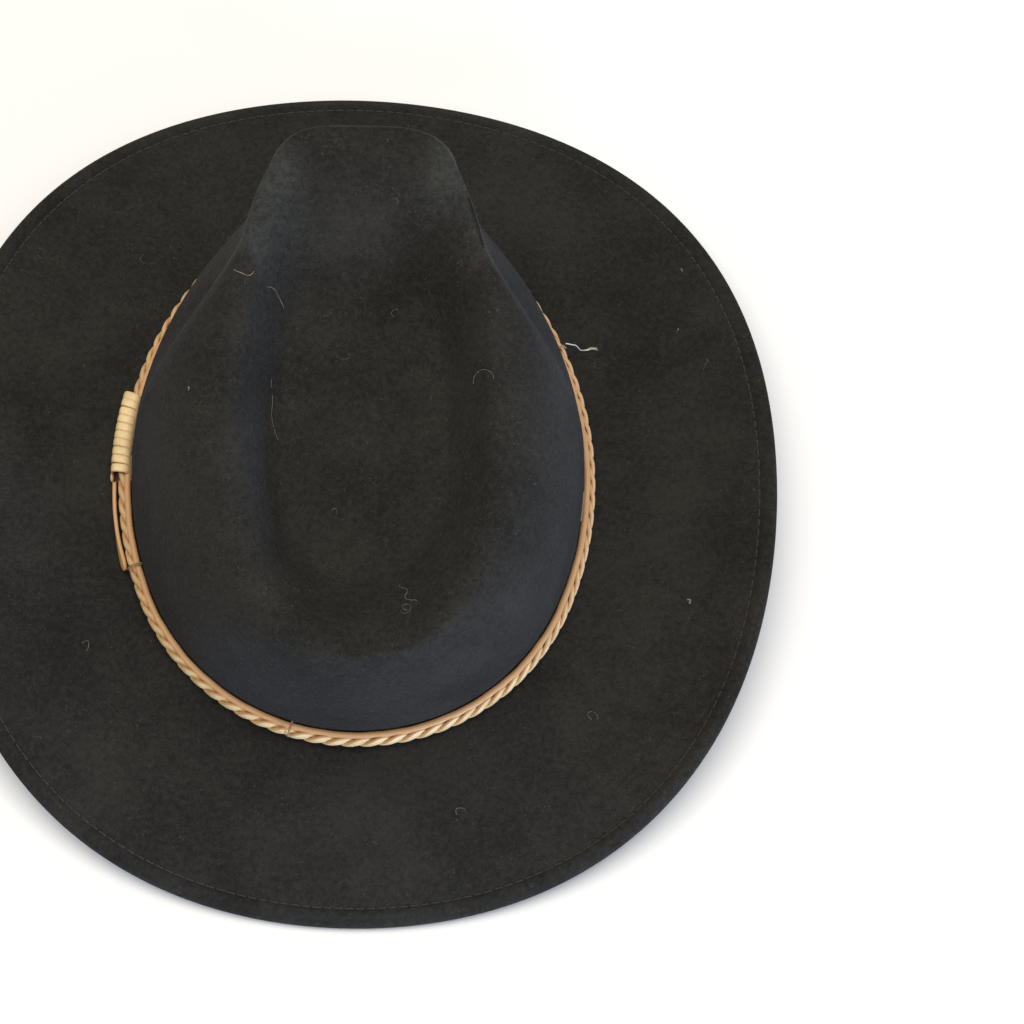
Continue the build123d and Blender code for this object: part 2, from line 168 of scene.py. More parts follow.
class BandSizes(bpy.types.PropertyGroup):
    """Sizes of the plaited band and its keeper."""

    lace_width: size("Lace width", "Width of one lace of the plait", 3.3)
    lace_thickness: size("Lace thickness", "Thickness of one lace of the plait", 1.5)
    plait_pitch: size("Plait pitch", "Length of one lobe of the plait", 7.0)
    plait_depth: size("Plait depth", "How far the two plaited laces reach from inside to outside", 3.0)
    plain_width: size("Plain lace", "Thickness of the plain lace inside the plait", 2.6)
    keeper_lace: size("Keeper lace", "Thickness of the lace wound round the keeper", 1.25)
    tail_width: size("Tail width", "Width of the lace's free end", 3.8)
    tail_thickness: size("Tail thickness", "Thickness of the lace's free end", 1.6)
    thread: size("Thread", "Thickness of the sewing thread", 0.5)
    turns: IntProperty(name="Turns", description="Turns of lace round the keeper", default=10)


class SweatbandSizes(bpy.types.PropertyGroup):
    """Sizes of the sweatband and its bow."""

    gap: size("Gap", "Room between the felt and the sweatband", 0.6)
    thickness: size("Leather thickness", "Thickness of the sweatband's leather", 1.1)
    bow_thickness: size("Bow thickness", "Thickness of the bow's strip", 0.8)


class FinishColours(bpy.types.PropertyGroup):
    """Colours of the hat's materials."""

    felt: colour("Felt", "Dyed wool felt", 0.0185, 0.0175, 0.0152)
    felt_wear_and_highlight: colour("Worn felt", "Felt on the rubbed ridges", 0.06, 0.064, 0.06)
    felt_fleck: colour("Felt fleck", "Undyed fibres in the felt", 0.075, 0.064, 0.045)
    # Felt on the pinch crease's pale line: partly wear of the felt, partly a painted highlight.
    fibre: colour("Fibre", "Loose fibres standing on the felt", 0.055, 0.051, 0.043)
    lint: colour("Lint", "Pale lint and hairs", 0.26, 0.22, 0.17)
    lace_grain: colour("Lace grain", "Grain face of the lace", 0.86, 0.64, 0.33)
    lace_edge: colour("Lace edge", "Cut edge of the lace", 0.58, 0.33, 0.15)
    lace_flesh: colour("Lace flesh", "Flesh face of the lace", 0.2, 0.105, 0.085)
    lace_tan: colour("Tan lace", "Faces of the keeper's free lace end", 0.68, 0.37, 0.15)
    hem_thread: colour("Hem thread", "Thread of the hem", 0.034, 0.028, 0.022)
    tan_thread: colour("Tan thread", "Thread of the tacks", 0.42, 0.24, 0.1)
    pale_thread: colour("Pale thread", "Loose undyed thread", 0.7, 0.66, 0.58)
    sweatband: colour("Sweatband", "Leather inside the hat", 0.035, 0.021, 0.015)
    tape: colour("Tape", "Cotton tape inside the hat", 0.02, 0.02, 0.021)
    tab: colour("Tab", "Blank woven tab", 0.55, 0.52, 0.46)
    reed: colour("Reed", "Reed in the sweatband's edge", 0.03, 0.03, 0.03)
    wire: colour("Wire", "Brim wire and its ferrule", 0.56, 0.57, 0.58)
    floor: colour("Floor", "Surface that the hat stands on", 0.9, 0.9, 0.89)


class StageSizes(bpy.types.PropertyGroup):
    """Camera and lights."""

    distance: size("Distance", "From the camera to the point it aims at", 1150.0)
    elevation: FloatProperty(
        name="Elevation", description="Height of the camera as an angle",
        default=radians(71.05), subtype="ANGLE",
    )
    turn: FloatProperty(
        name="Turn", description="Camera's angle from straight behind",
        default=radians(-11.72), subtype="ANGLE",
    )
    roll: FloatProperty(name="Roll", description="Camera's roll", default=radians(12.87), subtype="ANGLE")
    aim: FloatVectorProperty(
        name="Aim", description="Point the camera aims at", default=(0.0605, -0.0039, 0.0), subtype="XYZ"
    )
    lens: FloatProperty(name="Lens", description="Focal length in millimetres", default=103.7)
    world_light: FloatProperty(name="World light", description="Strength of the even light", default=0.38)
    overhead_power: FloatProperty(name="Overhead power", description="Watts of the light above", default=28.0)
    window_power: FloatProperty(name="Window power", description="Watts of the cool side light", default=58.0)


GROUPS = {
    "hat_felt": FeltSizes,
    "hat_band": BandSizes,
    "hat_sweatband": SweatbandSizes,
    "hat_colours": FinishColours,
    "hat_stage": StageSizes,
}


# ---------------------------------------------------------------- Form of the hat


def end_radius(half_width, side_radius, half_length):
    """Radius of an end arc tangent to both side arcs: (shift² + length² − side²) / 2(length − side)."""
    shift = side_radius - half_width
    return (shift**2 + half_length**2 - side_radius**2) / (2 * (half_length - side_radius))


def oval(angles, half_width, side_radius, front, back, offset=0.0):
    """Points of a four-arc oval where its outward normal has the given angles, moved out by offset.

    Each point is an arc's centre plus (radius + offset) times the normal; the side arcs are centred
    on the X axis beyond the middle, and the end arcs on the Y axis.
    """
    x, y = np.cos(angles), np.sin(angles)
    half = np.where(y > 0, front, back)
    radius = end_radius(half_width, side_radius, half)
    centre = half - radius
    shift = side_radius - half_width
    on_side = np.arctan2(abs(y), abs(x)) < np.arctan2(centre, shift)
    across = np.where(on_side, (side_radius + offset) * x - np.sign(x) * shift, (radius + offset) * x)
    along = np.where(on_side, (side_radius + offset) * y, np.sign(y) * centre + (radius + offset) * y)
    return np.stack([across, along], -1)


def head_oval(angles, offset=0.0):
    """The felt's outline where the crown meets the brim."""
    return oval(angles, OVAL_HALF_WIDTH, OVAL_SIDE_RADIUS, OVAL_FRONT, OVAL_BACK, offset)


def brim_oval(angles, offset=0.0):
    """The brim's edge, an ellipse times (1 + squareness · sin²2θ), moved out along its normals.

    The normal is the tangent turned a quarter, and the tangent comes from the radius and its slope.
    """
    x, y = np.cos(angles), np.sin(angles)
    ellipse = 1 / np.hypot(x / BRIM_HALF_WIDTH, y / BRIM_HALF_LENGTH)
    square = 1 + BRIM_SQUARENESS * np.sin(2 * angles) ** 2
    radius = ellipse * square
    lengthening = ellipse**3 * x * y * (BRIM_HALF_WIDTH**-2 - BRIM_HALF_LENGTH**-2)
    slope = lengthening * square + ellipse * 2 * BRIM_SQUARENESS * np.sin(4 * angles)
    normal = unit(np.stack([slope * y + radius * x, radius * y - slope * x], -1))
    return np.stack([x, y], -1) * radius[..., None] + offset * normal


def even_angles(curve, count):
    """Angles of points spread evenly along a closed curve: a fine polygon's running lengths, read back."""
    fine = np.linspace(0, 2 * pi, ROUND_STEPS + 1)
    steps = np.linalg.norm(np.diff(curve(fine), axis=0), axis=1)
    lengths = np.concatenate([[0.0], np.cumsum(steps)])
    wanted = np.arange(count) / count * lengths[-1]
    return np.interp(wanted, lengths, fine)


def level_direction(angle):
    """Level unit vectors that point at given angles."""
    return np.stack([np.cos(angle), np.sin(angle), 0 * angle], -1)


def curve_length(curve):
    """Length of a closed curve, as the length of a fine polygon in it."""
    points = curve(np.linspace(0, 2 * pi, ROUND_STEPS + 1))
    return np.linalg.norm(np.diff(points, axis=0), axis=1).sum()


def crest_points(angles):
    """The crown's top ridge: a superellipse, x = w·|cos|^(2/n), y = l·|sin|^(2/n), narrowed at the nose."""
    x, y = np.cos(angles), np.sin(angles)
    power = 2 / np.where(y > 0, NOSE_SHARPNESS, TAIL_SHARPNESS)
    along = signed_power(y, power)
    across = signed_power(x, power)
    width = CREST_HALF_WIDTH * (1 - NOSE_TAPER * np.maximum(along, 0) ** 1.5)
    lean = bpy.context.scene.hat_felt.nose_lean * np.maximum(along, 0) ** 2
    return np.stack([width * across - lean, np.where(y > 0, CREST_FRONT, CREST_BACK) * along], -1)


def signed_power(value, power):
    """A value's size to a power, with the value's own sign."""
    return np.sign(value) * abs(value) ** power


def smooth_step(value):
    """Smooth rise from 0 to 1: 3t² − 2t³, with t kept between 0 and 1."""
    t = np.clip(value, 0, 1)
    return t * t * (3 - 2 * t)


def bell(value, middle, spread):
    """Bell curve: e to the minus ((value − middle) / spread)²."""
    return np.exp(-(((value - middle) / spread) ** 2))


def pinched(angles):
    """How much of the pinch a direction gets: none at the side and the nose, all of it between them."""
    side = np.degrees(np.arctan2(np.sin(angles), abs(np.cos(angles))))
    start = smooth_step((side - PINCH_START) / (PINCH_FULL - PINCH_START))
    return start * (1 - smooth_step((side - PINCH_FADE) / (PINCH_END - PINCH_FADE)))


def crease(level, angle):
    """Strength of the pale line along the pinch, a bell curve round its level: partly wear of the felt,
    partly a painted highlight.

    The line climbs from the side of the band to the ridge and follows it to the nose's corner.
    """
    side = np.degrees(np.arctan2(np.sin(angle), abs(np.cos(angle))))
    low, climb, climb_start, climb_run = 0.1, 0.82, -1, 17
    narrow, widening = 0.05, 0.04
    line = low + climb * smooth_step((side - climb_start) / climb_run) ** 0.8
    ends = smooth_step((side - 1) / 6) * (1 - smooth_step((side - 50) / 25))
    return ends * bell(level, line, narrow + widening * smooth_step(side / 12))


def crown_wall(levels, angles):
    """The crown's wall, one row for each level from 0, the brim, to 1, the ridge.

    A point stands between the ridge and the head oval, by a share that is a quarter of a superellipse
    in height, cut back between the side and the nose by the pinch, whose depth rises smoothly with
    direction and level and fades again round the nose. Height is the level times the ridge's height,
    which climbs towards the front, and the nose dips in its middle.
    """
    level, angle = levels[:, None], angles[None, :]
    bulge = np.sqrt(np.maximum(0, 1 - level**WALL_ROUNDNESS))
    share = bulge * (1 - PINCH_DEPTH * pinched(angle) * smooth_step((level - PINCH_ONSET) / PINCH_RISE))
    crest = crest_points(angles)[None]
    plan = crest + (head_oval(angles)[None] - crest) * share[..., None]
    height = BREAK_HEIGHT + level * (CREST_HEIGHT + CREST_SLOPE * plan[..., 1])
    height = height - nose_dip(angle) * smooth_step((level - 0.6) / 0.4)
    return np.concatenate([plan, height[..., None]], -1)


def nose_dip(angle):
    """Depth of the dip at the middle of the nose, a bell curve round the front."""
    return bpy.context.scene.hat_felt.nose_dip * bell(np.degrees(angle), NOSE_DIRECTION, 30)


def crown_dent(shares, angles):
    """The dent in the crown's top, one row for each share of the ridge's outline, from its middle out.

    The depth falls smoothly from the ridge to a valley, nearer the middle at the front, and rises
    again by half a cosine wave to the floor in the middle.
    """
    sizes = bpy.context.scene.hat_felt
    share, angle = shares[:, None], angles[None, :]
    valley = VALLEY_SHARE - VALLEY_SHIFT * bell(np.degrees(angle), NOSE_DIRECTION, 50)
    fall = smooth_step((1 - share) / (1 - valley)) ** FALL_POWER
    mound = 0.5 + 0.5 * np.cos(pi * np.clip(share / valley, 0, 1))
    front = bell(np.degrees(angle), NOSE_DIRECTION, 45)
    depth = (sizes.dent_depth * (1 - FRONT_SHALLOWING * front * share)) * fall - sizes.floor_rise * mound
    depth = depth + nose_dip(angle) * share**2
    plan = crest_points(angles)[None] * share[..., None]
    height = BREAK_HEIGHT + CREST_HEIGHT + CREST_SLOPE * plan[..., 1] - depth
    return np.concatenate([plan, height[..., None]], -1)


def brim_height(x, y):
    """Height of the brim's top face, (rise·side − drop·(1 − side)) · outwards² above the break.

    Outwards goes from 0 at the head to 1 at the edge, and side from 0 at the ends to 1 at the sides.
    """
    radius = np.hypot(x, y)
    across, along = abs(x) / radius, y / radius
    head = 1 / np.hypot(across / OVAL_HALF_WIDTH, along / np.where(y > 0, OVAL_FRONT, OVAL_BACK))
    edge = 1 / np.hypot(across / BRIM_HALF_WIDTH, along / BRIM_HALF_LENGTH)
    edge = edge * (1 + BRIM_SQUARENESS * (2 * across * along) ** 2)
    outwards = np.maximum(0, (radius - head) / (edge - head))
    side = across**SIDE_SPREAD
    return BREAK_HEIGHT + (SIDE_RISE * side - END_DROP * (1 - side)) * outwards**2


def brim_rows(offsets, angles):
    """The brim from the head to the hem: straight lines, in plan, between the two outlines."""
    sizes = bpy.context.scene.hat_felt
    inner = head_oval(angles, sizes.break_radius)[None]
    outer = brim_oval(angles, -sizes.hem_width - 1.5 * MM)[None]
    plan = inner + (outer - inner) * offsets[:, None, None]
    return np.concatenate([plan, brim_height(plan[..., 0], plan[..., 1])[..., None]], -1)


def hem_rows(profile, angles):
    """The hem: curves parallel to the edge, each given as an inset and a depth under the brim's face."""
    rows = []
    for inset, depth in profile:
        plan = brim_oval(angles, -inset)
        height = brim_height(plan[:, 0], plan[:, 1]) - depth
        rows.append(np.concatenate([plan, height[:, None]], -1))
    return np.stack(rows)


def unit(vectors):
    """Vectors scaled to length 1."""
    return vectors / np.maximum(np.linalg.norm(vectors, axis=-1, keepdims=True), 1e-12)


def ring_tangent(path):
    """Directions along a closed path: from the point before each point to the point after it."""
    return unit(np.roll(path, -1, 0) - np.roll(path, 1, 0))


def grid_normals(points):
    """Normals of a grid closed round its columns: the step down a column crossed with the one along a row."""
    down = np.gradient(points, axis=0)
    along = np.roll(points, -1, axis=1) - np.roll(points, 1, axis=1)
    return unit(np.cross(down, along))


def felt_angles(count):
    """Column angles that share the ridge's length and the head oval's length evenly between them."""
    fine = np.linspace(0, 2 * pi, 20001)
    running = np.zeros_like(fine)
    for curve in (crest_points, head_oval):
        steps = np.linalg.norm(np.diff(curve(fine), axis=0), axis=1)
        running[1:] += np.cumsum(steps) / steps.sum()
    return np.interp((np.arange(count) + 0.5) / count * running[-1], running, fine)


def felt_top(columns=480):
    """The felt's outer face from the middle of the dent to the hem, its angles and its normals.

    A slow unevenness, three crossed sine waves, is added along the normals, on the crown above the
    sweatband and on the brim outside the band.
    """
    sizes = bpy.context.scene.hat_felt
    angles = felt_angles(columns)
    shares = np.linspace(0, 1, DENT_ROWS + 1)[1:]
    lowest = asin((sizes.break_radius / CREST_HEIGHT) ** (WALL_ROUNDNESS / 2))
    quarter = np.linspace(pi / 2, lowest, WALL_ROWS + 1)[1:]
    levels = np.sin(quarter) ** (2 / WALL_ROUNDNESS)
    turns = np.radians([72.0, 54.0, 36.0, 18.0])
    fillet = []
    for turn in turns:
        plan = head_oval(angles, sizes.break_radius * (1 - sin(turn)))
        height = np.full((columns, 1), BREAK_HEIGHT + sizes.break_radius * (1 - cos(turn)))
        fillet.append(np.concatenate([plan, height], -1))
    points = np.concatenate([
        crown_dent(shares, angles),
        crown_wall(levels, angles),
        np.stack(fillet),
        brim_rows(np.linspace(0, 1, 26), angles),
    ])
    normals = grid_normals(points)
    x, y, z = points[..., 0], points[..., 1], points[..., 2]
    high = smooth_step((z - 0.06) / 0.03)
    out = smooth_step((np.hypot(x, y) - 0.115) / 0.02) * (z < 0.05)
    waves = np.sin(61 * x + 38 * y + 0.6) + np.sin(-47 * x + 73 * y + 2.1) + np.sin(83 * x - 29 * y + 70 * z)
    lift = sizes.unevenness / 3 * waves * (high + 0.6 * out)
    lift = lift * smooth_step((len(points) - 1 - np.arange(len(points)))[:, None] / 6)
    return points + normals * lift[..., None], angles, normals


# ---------------------------------------------------------------- Meshes


def grid_steps(rows, columns, wrap_rows=False):
    """Row and column steps of the corners of a grid's quads; the grid is closed round its columns."""
    row = np.arange(rows if wrap_rows else rows - 1)[:, None]
    column = np.arange(columns)[None, :]
    steps = []
    for down, along in ((0, 0), (1, 0), (1, 1), (0, 1)):
        steps.append(np.stack([row + down + 0 * column, column + along + 0 * row], -1))
    return np.stack(steps, -2).reshape(-1, 4, 2)


def grid_quads(rows, columns, wrap_rows=False):
    """Corner numbers of a grid's quads, in the order of their steps."""
    steps = grid_steps(rows, columns, wrap_rows)
    return steps[..., 0] % rows * columns + steps[..., 1] % columns


def shell_volume(points, faces):
    """Enclosed volume: a sixth of the sum of triple products of each face's triangles."""
    total = 0.0
    for corner in range(1, faces.shape[1] - 1):
        a, b, c = (points[faces[:, k]] for k in (0, corner, corner + 1))
        total += np.einsum("ij,ij->i", a, np.cross(b, c)).sum() / 6
    return total


def add_piece(name, points, quads, triangles, material, body, slot, uv=None, masks=None):
    """Makes a closed mesh whose faces point outwards, with optional UVs of its quads and point masks."""
    points = points.reshape(-1, 3)
    triangles = np.asarray(triangles, dtype=int).reshape(-1, 3)
    volume = shell_volume(points, quads) + (shell_volume(points, triangles) if len(triangles) else 0.0)
    if volume < 0:
        quads = quads[:, ::-1]
        triangles = triangles[:, ::-1]
        uv = None if uv is None else uv[:, ::-1]
    mesh = bpy.data.meshes.new(name)
    mesh.from_pydata(points.tolist(), [], quads.tolist() + triangles.tolist())
    if uv is not None:
        layer = mesh.uv_layers.new(name="run")
        flat = np.zeros((len(mesh.loops), 2))
        flat[: uv.shape[0] * 4] = uv.reshape(-1, 2)
        layer.data.foreach_set("uv", flat.ravel())
    for mask, values in (masks or {}).items():
        attribute = mesh.attributes.new(mask, "FLOAT", "POINT")
        attribute.data.foreach_set("value", np.ascontiguousarray(values, dtype=np.float32).ravel())
    mesh.shade_smooth()
    mesh.materials.append(material)
    piece = bpy.data.objects.new(name, mesh)
    bpy.context.scene.collection.objects.link(piece)
    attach(piece, body)
    return piece


def flat_profile(width, thickness, count=12, sharpness=3.4):
    """Section of a flat lace: a superellipse, as offsets along its width and its thickness."""
    turn = np.arange(count) / count * 2 * pi
    power = 2 / sharpness
    across = signed_power(np.cos(turn), power) * width / 2
    through = signed_power(np.sin(turn), power) * thickness / 2
    return np.stack([across, through], -1)


def lace_masks(edge, back, steps):
    """A lace's masks, given for one ring, for all of its rings."""
    return {"edge": np.tile(edge, (steps, 1)), "back": np.tile(back, (steps, 1))}


def carried(path, across, through, profile):
    """A profile carried along a path: path + across · its first offset + through · its second."""
    wide = across[..., None, :] * profile[:, 0, None]
    thick = through[..., None, :] * profile[:, 1, None]
    return path[..., None, :] + wide + thick


def cap_fans(first, sides):
    """Triangles that close a ring of points numbered from first, as a fan from its first point."""
    spread = np.arange(1, sides - 1)
    return np.stack([first + 0 * spread, first + spread, first + spread + 1], -1)


def end_caps(steps, sides):
    """Triangles that close both ends of a line of rings."""
    return np.concatenate([cap_fans(0, sides), cap_fans((steps - 1) * sides, sides)[:, ::-1]])


def tube_set(paths, side, radius, sides):
    """Thin closed tubes along many paths at once, [tube, step, xyz], as points, quads, triangles and UVs.

    Each ring is path + radius · (cos · u + sin · v), where u is the given side direction made square
    to the path and v is square to both.
    """
    count, steps = paths.shape[:2]
    tangent = unit(np.gradient(paths, axis=1))
    u = unit(side - tangent * np.sum(side * tangent, -1, keepdims=True))
    v = np.cross(tangent, u)
    turn = np.arange(sides) / sides * 2 * pi
    width = np.broadcast_to(radius, (count, steps))[..., None, None]
    ring = np.cos(turn)[:, None] * u[..., None, :] + np.sin(turn)[:, None] * v[..., None, :]
    points = paths[..., None, :] + width * ring
    quads, stages = grid_quads(steps, sides), grid_steps(steps, sides)
    lengths = np.linalg.norm(np.diff(paths, axis=1), axis=-1)
    running = np.concatenate([np.zeros((count, 1)), np.cumsum(lengths, 1)], 1)
    uv = np.empty((count,) + stages.shape)
    uv[..., 0] = running[:, stages[..., 0]]
    uv[..., 1] = stages[..., 1] / sides
    base = np.arange(count)[:, None, None] * steps * sides
    return (
        points,
        (quads[None] + base).reshape(-1, 4),
        (end_caps(steps, sides)[None] + base).reshape(-1, 3),
        uv.reshape(-1, 4, 2),
    )


def joined(sets):
    """Several sets of points, quads, triangles and UVs made into one."""
    points, quads, triangles, uvs = [], [], [], []
    start = 0
    for more, quad, triangle, uv in sets:
        more = more.reshape(-1, 3)
        points.append(more)
        quads.append(quad + start)
        triangles.append(triangle + start)
        uvs.append(uv)
        start += len(more)
    return np.concatenate(points), np.concatenate(quads), np.concatenate(triangles), np.concatenate(uvs)


# ---------------------------------------------------------------- Materials


def add_node(tree, kind, **settings):
    """A node of one kind; settings whose names are sockets go to its inputs."""
    node = tree.nodes.new(kind)
    for name, value in settings.items():
        socket = name.replace("_", " ").title()
        if name.islower() and socket in node.inputs and not hasattr(node, name):
            node.inputs[socket].default_value = value
        else:
            setattr(node, name, value)
    return node


def ramp(tree, source, low, high):
    """Smooth mask that goes from 0 at low to 1 at high."""
    node = add_node(tree, "ShaderNodeMapRange", interpolation_type="SMOOTHSTEP")
    node.inputs["From Min"].default_value = low
    node.inputs["From Max"].default_value = high
    tree.links.new(source, node.inputs["Value"])
    return node.outputs["Result"]


def maths(tree, operation, first, second):
    """Sum, product or another sum of two values, either of which may be a plain number."""
    node = add_node(tree, "ShaderNodeMath", operation=operation)
    for socket, value in zip(node.inputs, (first, second)):
        if isinstance(value, (int, float)):
            socket.default_value = value
        else:
            tree.links.new(value, socket)
    return node.outputs[0]


def mixed(tree, mask, first, second):
    """Colour that goes from first to second as the mask goes from 0 to 1."""
    node = add_node(tree, "ShaderNodeMix", data_type="RGBA")
    tree.links.new(mask, node.inputs["Factor"])
    for socket, value in ((node.inputs["A"], first), (node.inputs["B"], second)):
        if isinstance(value, bpy.types.NodeSocket):
            tree.links.new(value, socket)
        else:
            socket.default_value = value
    return node.outputs["Result"]


def noise(tree, vector, scale, detail=2.0, roughness=0.5):
    """Noise of a given scale, in features per metre."""
    node = add_node(tree, "ShaderNodeTexNoise")
    node.inputs["Scale"].default_value = scale
    node.inputs["Detail"].default_value = detail
    node.inputs["Roughness"].default_value = roughness
    tree.links.new(vector, node.inputs["Vector"])
    return node.outputs["Fac"]


def new_group(name, inputs, outputs):
    """An empty shader node group with named sockets, and its input and output nodes."""
    tree = bpy.data.node_groups.new(name, "ShaderNodeTree")
    for title, kind, default in inputs:
        socket = tree.interface.new_socket(title, in_out="INPUT", socket_type=kind)
        if default is not None:
            socket.default_value = default
    for title in outputs:
        tree.interface.new_socket(title, in_out="OUTPUT", socket_type="NodeSocketFloat")
    return tree, tree.nodes.new("NodeGroupInput"), tree.nodes.new("NodeGroupOutput")


def nap_group():
    """Felt nap: slow mottle, clumped fibres, pale flecks and a height of matted fibre."""
    tree, given, result = new_group(
        "felt_nap", [("Vector", "NodeSocketVector", None), ("Fleck", "NodeSocketFloat", 0.5)],
        ["Mottle", "Flecks", "Height"],
    )
    vector = given.outputs["Vector"]
    slow = noise(tree, vector, 26.0, 4.0, 0.6)
    clumps = noise(tree, vector, 480.0, 5.0, 0.65)
    fibre = noise(tree, vector, 1900.0, 3.0, 0.65)
    mottle = maths(tree, "ADD", maths(tree, "MULTIPLY", slow, 0.3), maths(tree, "MULTIPLY", clumps, 0.35))
    mottle = maths(tree, "ADD", mottle, maths(tree, "MULTIPLY", fibre, 0.35))
    tree.links.new(ramp(tree, mottle, 0.38, 0.62), result.inputs["Mottle"])
    cells = add_node(tree, "ShaderNodeTexVoronoi", feature="F1")
    cells.inputs["Scale"].default_value = 620.0
    cells.inputs["Randomness"].default_value = 1.0
    tree.links.new(vector, cells.inputs["Vector"])
    spots = ramp(tree, cells.outputs["Distance"], 0.34, 0.08)
    some = ramp(tree, noise(tree, vector, 150.0, 3.0, 0.7), 0.52, 0.68)
    flecks = maths(tree, "MULTIPLY", maths(tree, "MULTIPLY", spots, some), given.outputs["Fleck"])
    tree.links.new(flecks, result.inputs["Flecks"])
    height = maths(tree, "ADD", maths(tree, "MULTIPLY", clumps, 0.6), maths(tree, "MULTIPLY", fibre, 0.5))
    tree.links.new(height, result.inputs["Height"])
    return tree


def grain_group():
    """Leather grain: pebbles, pores and creases, as a tone and a height."""
    tree, given, result = new_group(
        "leather_grain", [("Vector", "NodeSocketVector", None), ("Pebbles", "NodeSocketFloat", 900.0)],
        ["Tone", "Height"],
    )
    vector = given.outputs["Vector"]
    cells = add_node(tree, "ShaderNodeTexVoronoi", feature="SMOOTH_F1")
    tree.links.new(vector, cells.inputs["Vector"])
    tree.links.new(given.outputs["Pebbles"], cells.inputs["Scale"])
    slow = noise(tree, vector, 140.0, 4.0, 0.6)
    fine = noise(tree, vector, 3000.0, 2.0, 0.5)
    tree.links.new(ramp(tree, slow, 0.3, 0.7), result.inputs["Tone"])
    height = maths(tree, "ADD", cells.outputs["Distance"], maths(tree, "MULTIPLY", fine, 0.4))
    tree.links.new(height, result.inputs["Height"])
    return tree


def twist_group():
    """Twisted thread: slanted plies read from a map of length and turn, as a shade and a height."""
    tree, given, result = new_group(
        "thread_twist", [("Map", "NodeSocketVector", None), ("Pitch", "NodeSocketFloat", 0.0012)],
        ["Shade", "Height"],
    )
    parts = add_node(tree, "ShaderNodeSeparateXYZ")
    tree.links.new(given.outputs["Map"], parts.inputs[0])
    along = maths(tree, "DIVIDE", parts.outputs["X"], given.outputs["Pitch"])
    phase = maths(tree, "MULTIPLY", maths(tree, "ADD", along, parts.outputs["Y"]), 4 * pi)
    wave = maths(tree, "SINE", phase, 0.0)
    height = maths(tree, "MULTIPLY_ADD", wave, 0.5)
    height.node.inputs[2].default_value = 0.5
    tree.links.new(height, result.inputs["Height"])
    tree.links.new(ramp(tree, height, 0.0, 0.7), result.inputs["Shade"])
    return tree


def dust_group():
    """Fine dust and places of wear: a patchy mask."""
    tree, given, result = new_group(
        "dust", [("Vector", "NodeSocketVector", None), ("Amount", "NodeSocketFloat", 0.3)], ["Mask"],
    )
    patches = ramp(tree, noise(tree, given.outputs["Vector"], 55.0, 6.0, 0.7), 0.45, 0.8)
    specks = ramp(tree, noise(tree, given.outputs["Vector"], 1800.0, 2.0, 0.6), 0.5, 0.75)
    mask = maths(tree, "MULTIPLY", maths(tree, "MULTIPLY", patches, specks), given.outputs["Amount"])
    tree.links.new(mask, result.inputs["Mask"])
    return tree


SHARED = {
    "felt_nap": nap_group, "leather_grain": grain_group, "thread_twist": twist_group, "dust": dust_group,
}


def placed_group(tree, name):
    """One of the shared groups, placed in a material."""
    node = tree.nodes.new("ShaderNodeGroup")
    node.node_tree = bpy.data.node_groups.get(name) or SHARED[name]()
    return node


def new_material(name, roughness):
    """An empty material: its tree, its Principled shader and a Texture Coordinate node."""
    material = bpy.data.materials.new(name)
    material.use_nodes = True
    tree = material.node_tree
    shader = tree.nodes["Principled BSDF"]
    shader.inputs["Roughness"].default_value = roughness
    return material, tree, shader, tree.nodes.new("ShaderNodeTexCoord")


def add_bump(tree, shader, height, strength, distance):
    """A bump of a height over a distance in metres."""
    bump = add_node(tree, "ShaderNodeBump")
    bump.inputs["Strength"].default_value = strength
    bump.inputs["Distance"].default_value = distance
    tree.links.new(height, bump.inputs["Height"])
    tree.links.new(bump.outputs["Normal"], shader.inputs["Normal"])


def dimmed(colour_value, factor):
    """A colour made darker or lighter by a factor."""
    return tuple(min(1.0, part * factor) for part in colour_value[:3]) + (1.0,)


def felt_material():
    """Napped wool felt: charcoal mottle, pale flecks, dust, a pale line along the pinch that is part felt
    wear and part painted highlight, a matted bump and a soft sheen.
    """
    colours = bpy.context.scene.hat_colours
    material, tree, shader, place = new_material("wool_felt", 0.88)
    nap = placed_group(tree, "felt_nap")
    dust = placed_group(tree, "dust")
    dust.inputs["Amount"].default_value = 0.35
    for group in (nap, dust):
        tree.links.new(place.outputs["Object"], group.inputs["Vector"])
    nap.inputs["Fleck"].default_value = 0.6
    felt = mixed(tree, nap.outputs["Mottle"], dimmed(colours.felt, 0.6), dimmed(colours.felt, 1.55))
    # Pale line along the pinch crease, from the body's mask: part felt wear, part painted highlight mixed
    # into the colour.
    wear_and_highlight = add_node(tree, "ShaderNodeAttribute", attribute_name="wear_and_highlight")
    rubbed_and_highlit = maths(tree, "MULTIPLY", wear_and_highlight.outputs["Fac"], maths(tree, "ADD", nap.outputs["Mottle"], 0.35))
    felt_with_wear_and_highlight = mixed(tree, maths(tree, "MULTIPLY", rubbed_and_highlit, 0.85), felt, colours.felt_wear_and_highlight)
    flecked = mixed(tree, nap.outputs["Flecks"], felt_with_wear_and_highlight, colours.felt_fleck)
    dusty = mixed(tree, dust.outputs["Mask"], flecked, dimmed(colours.felt_fleck, 1.2))
    tree.links.new(dusty, shader.inputs["Base Color"])
    shader.inputs["Specular IOR Level"].default_value = 0.1
    shader.inputs["Sheen Weight"].default_value = 0.03
    shader.inputs["Sheen Roughness"].default_value = 0.5
    shader.inputs["Sheen Tint"].default_value = (0.8, 0.85, 0.95, 1.0)
    add_bump(tree, shader, nap.outputs["Height"], 0.8, 0.5 * MM)
    return material


def fibre_material(name, tint):
    """Loose fibre or hair: one hue, lighter and darker from place to place."""
    material, tree, shader, place = new_material(name, 0.7)
    tone = ramp(tree, noise(tree, place.outputs["Object"], 500.0), 0.3, 0.7)
    tree.links.new(mixed(tree, tone, dimmed(tint, 0.5), dimmed(tint, 1.5)), shader.inputs["Base Color"])
    shader.inputs["Sheen Weight"].default_value = 0.2
    return material


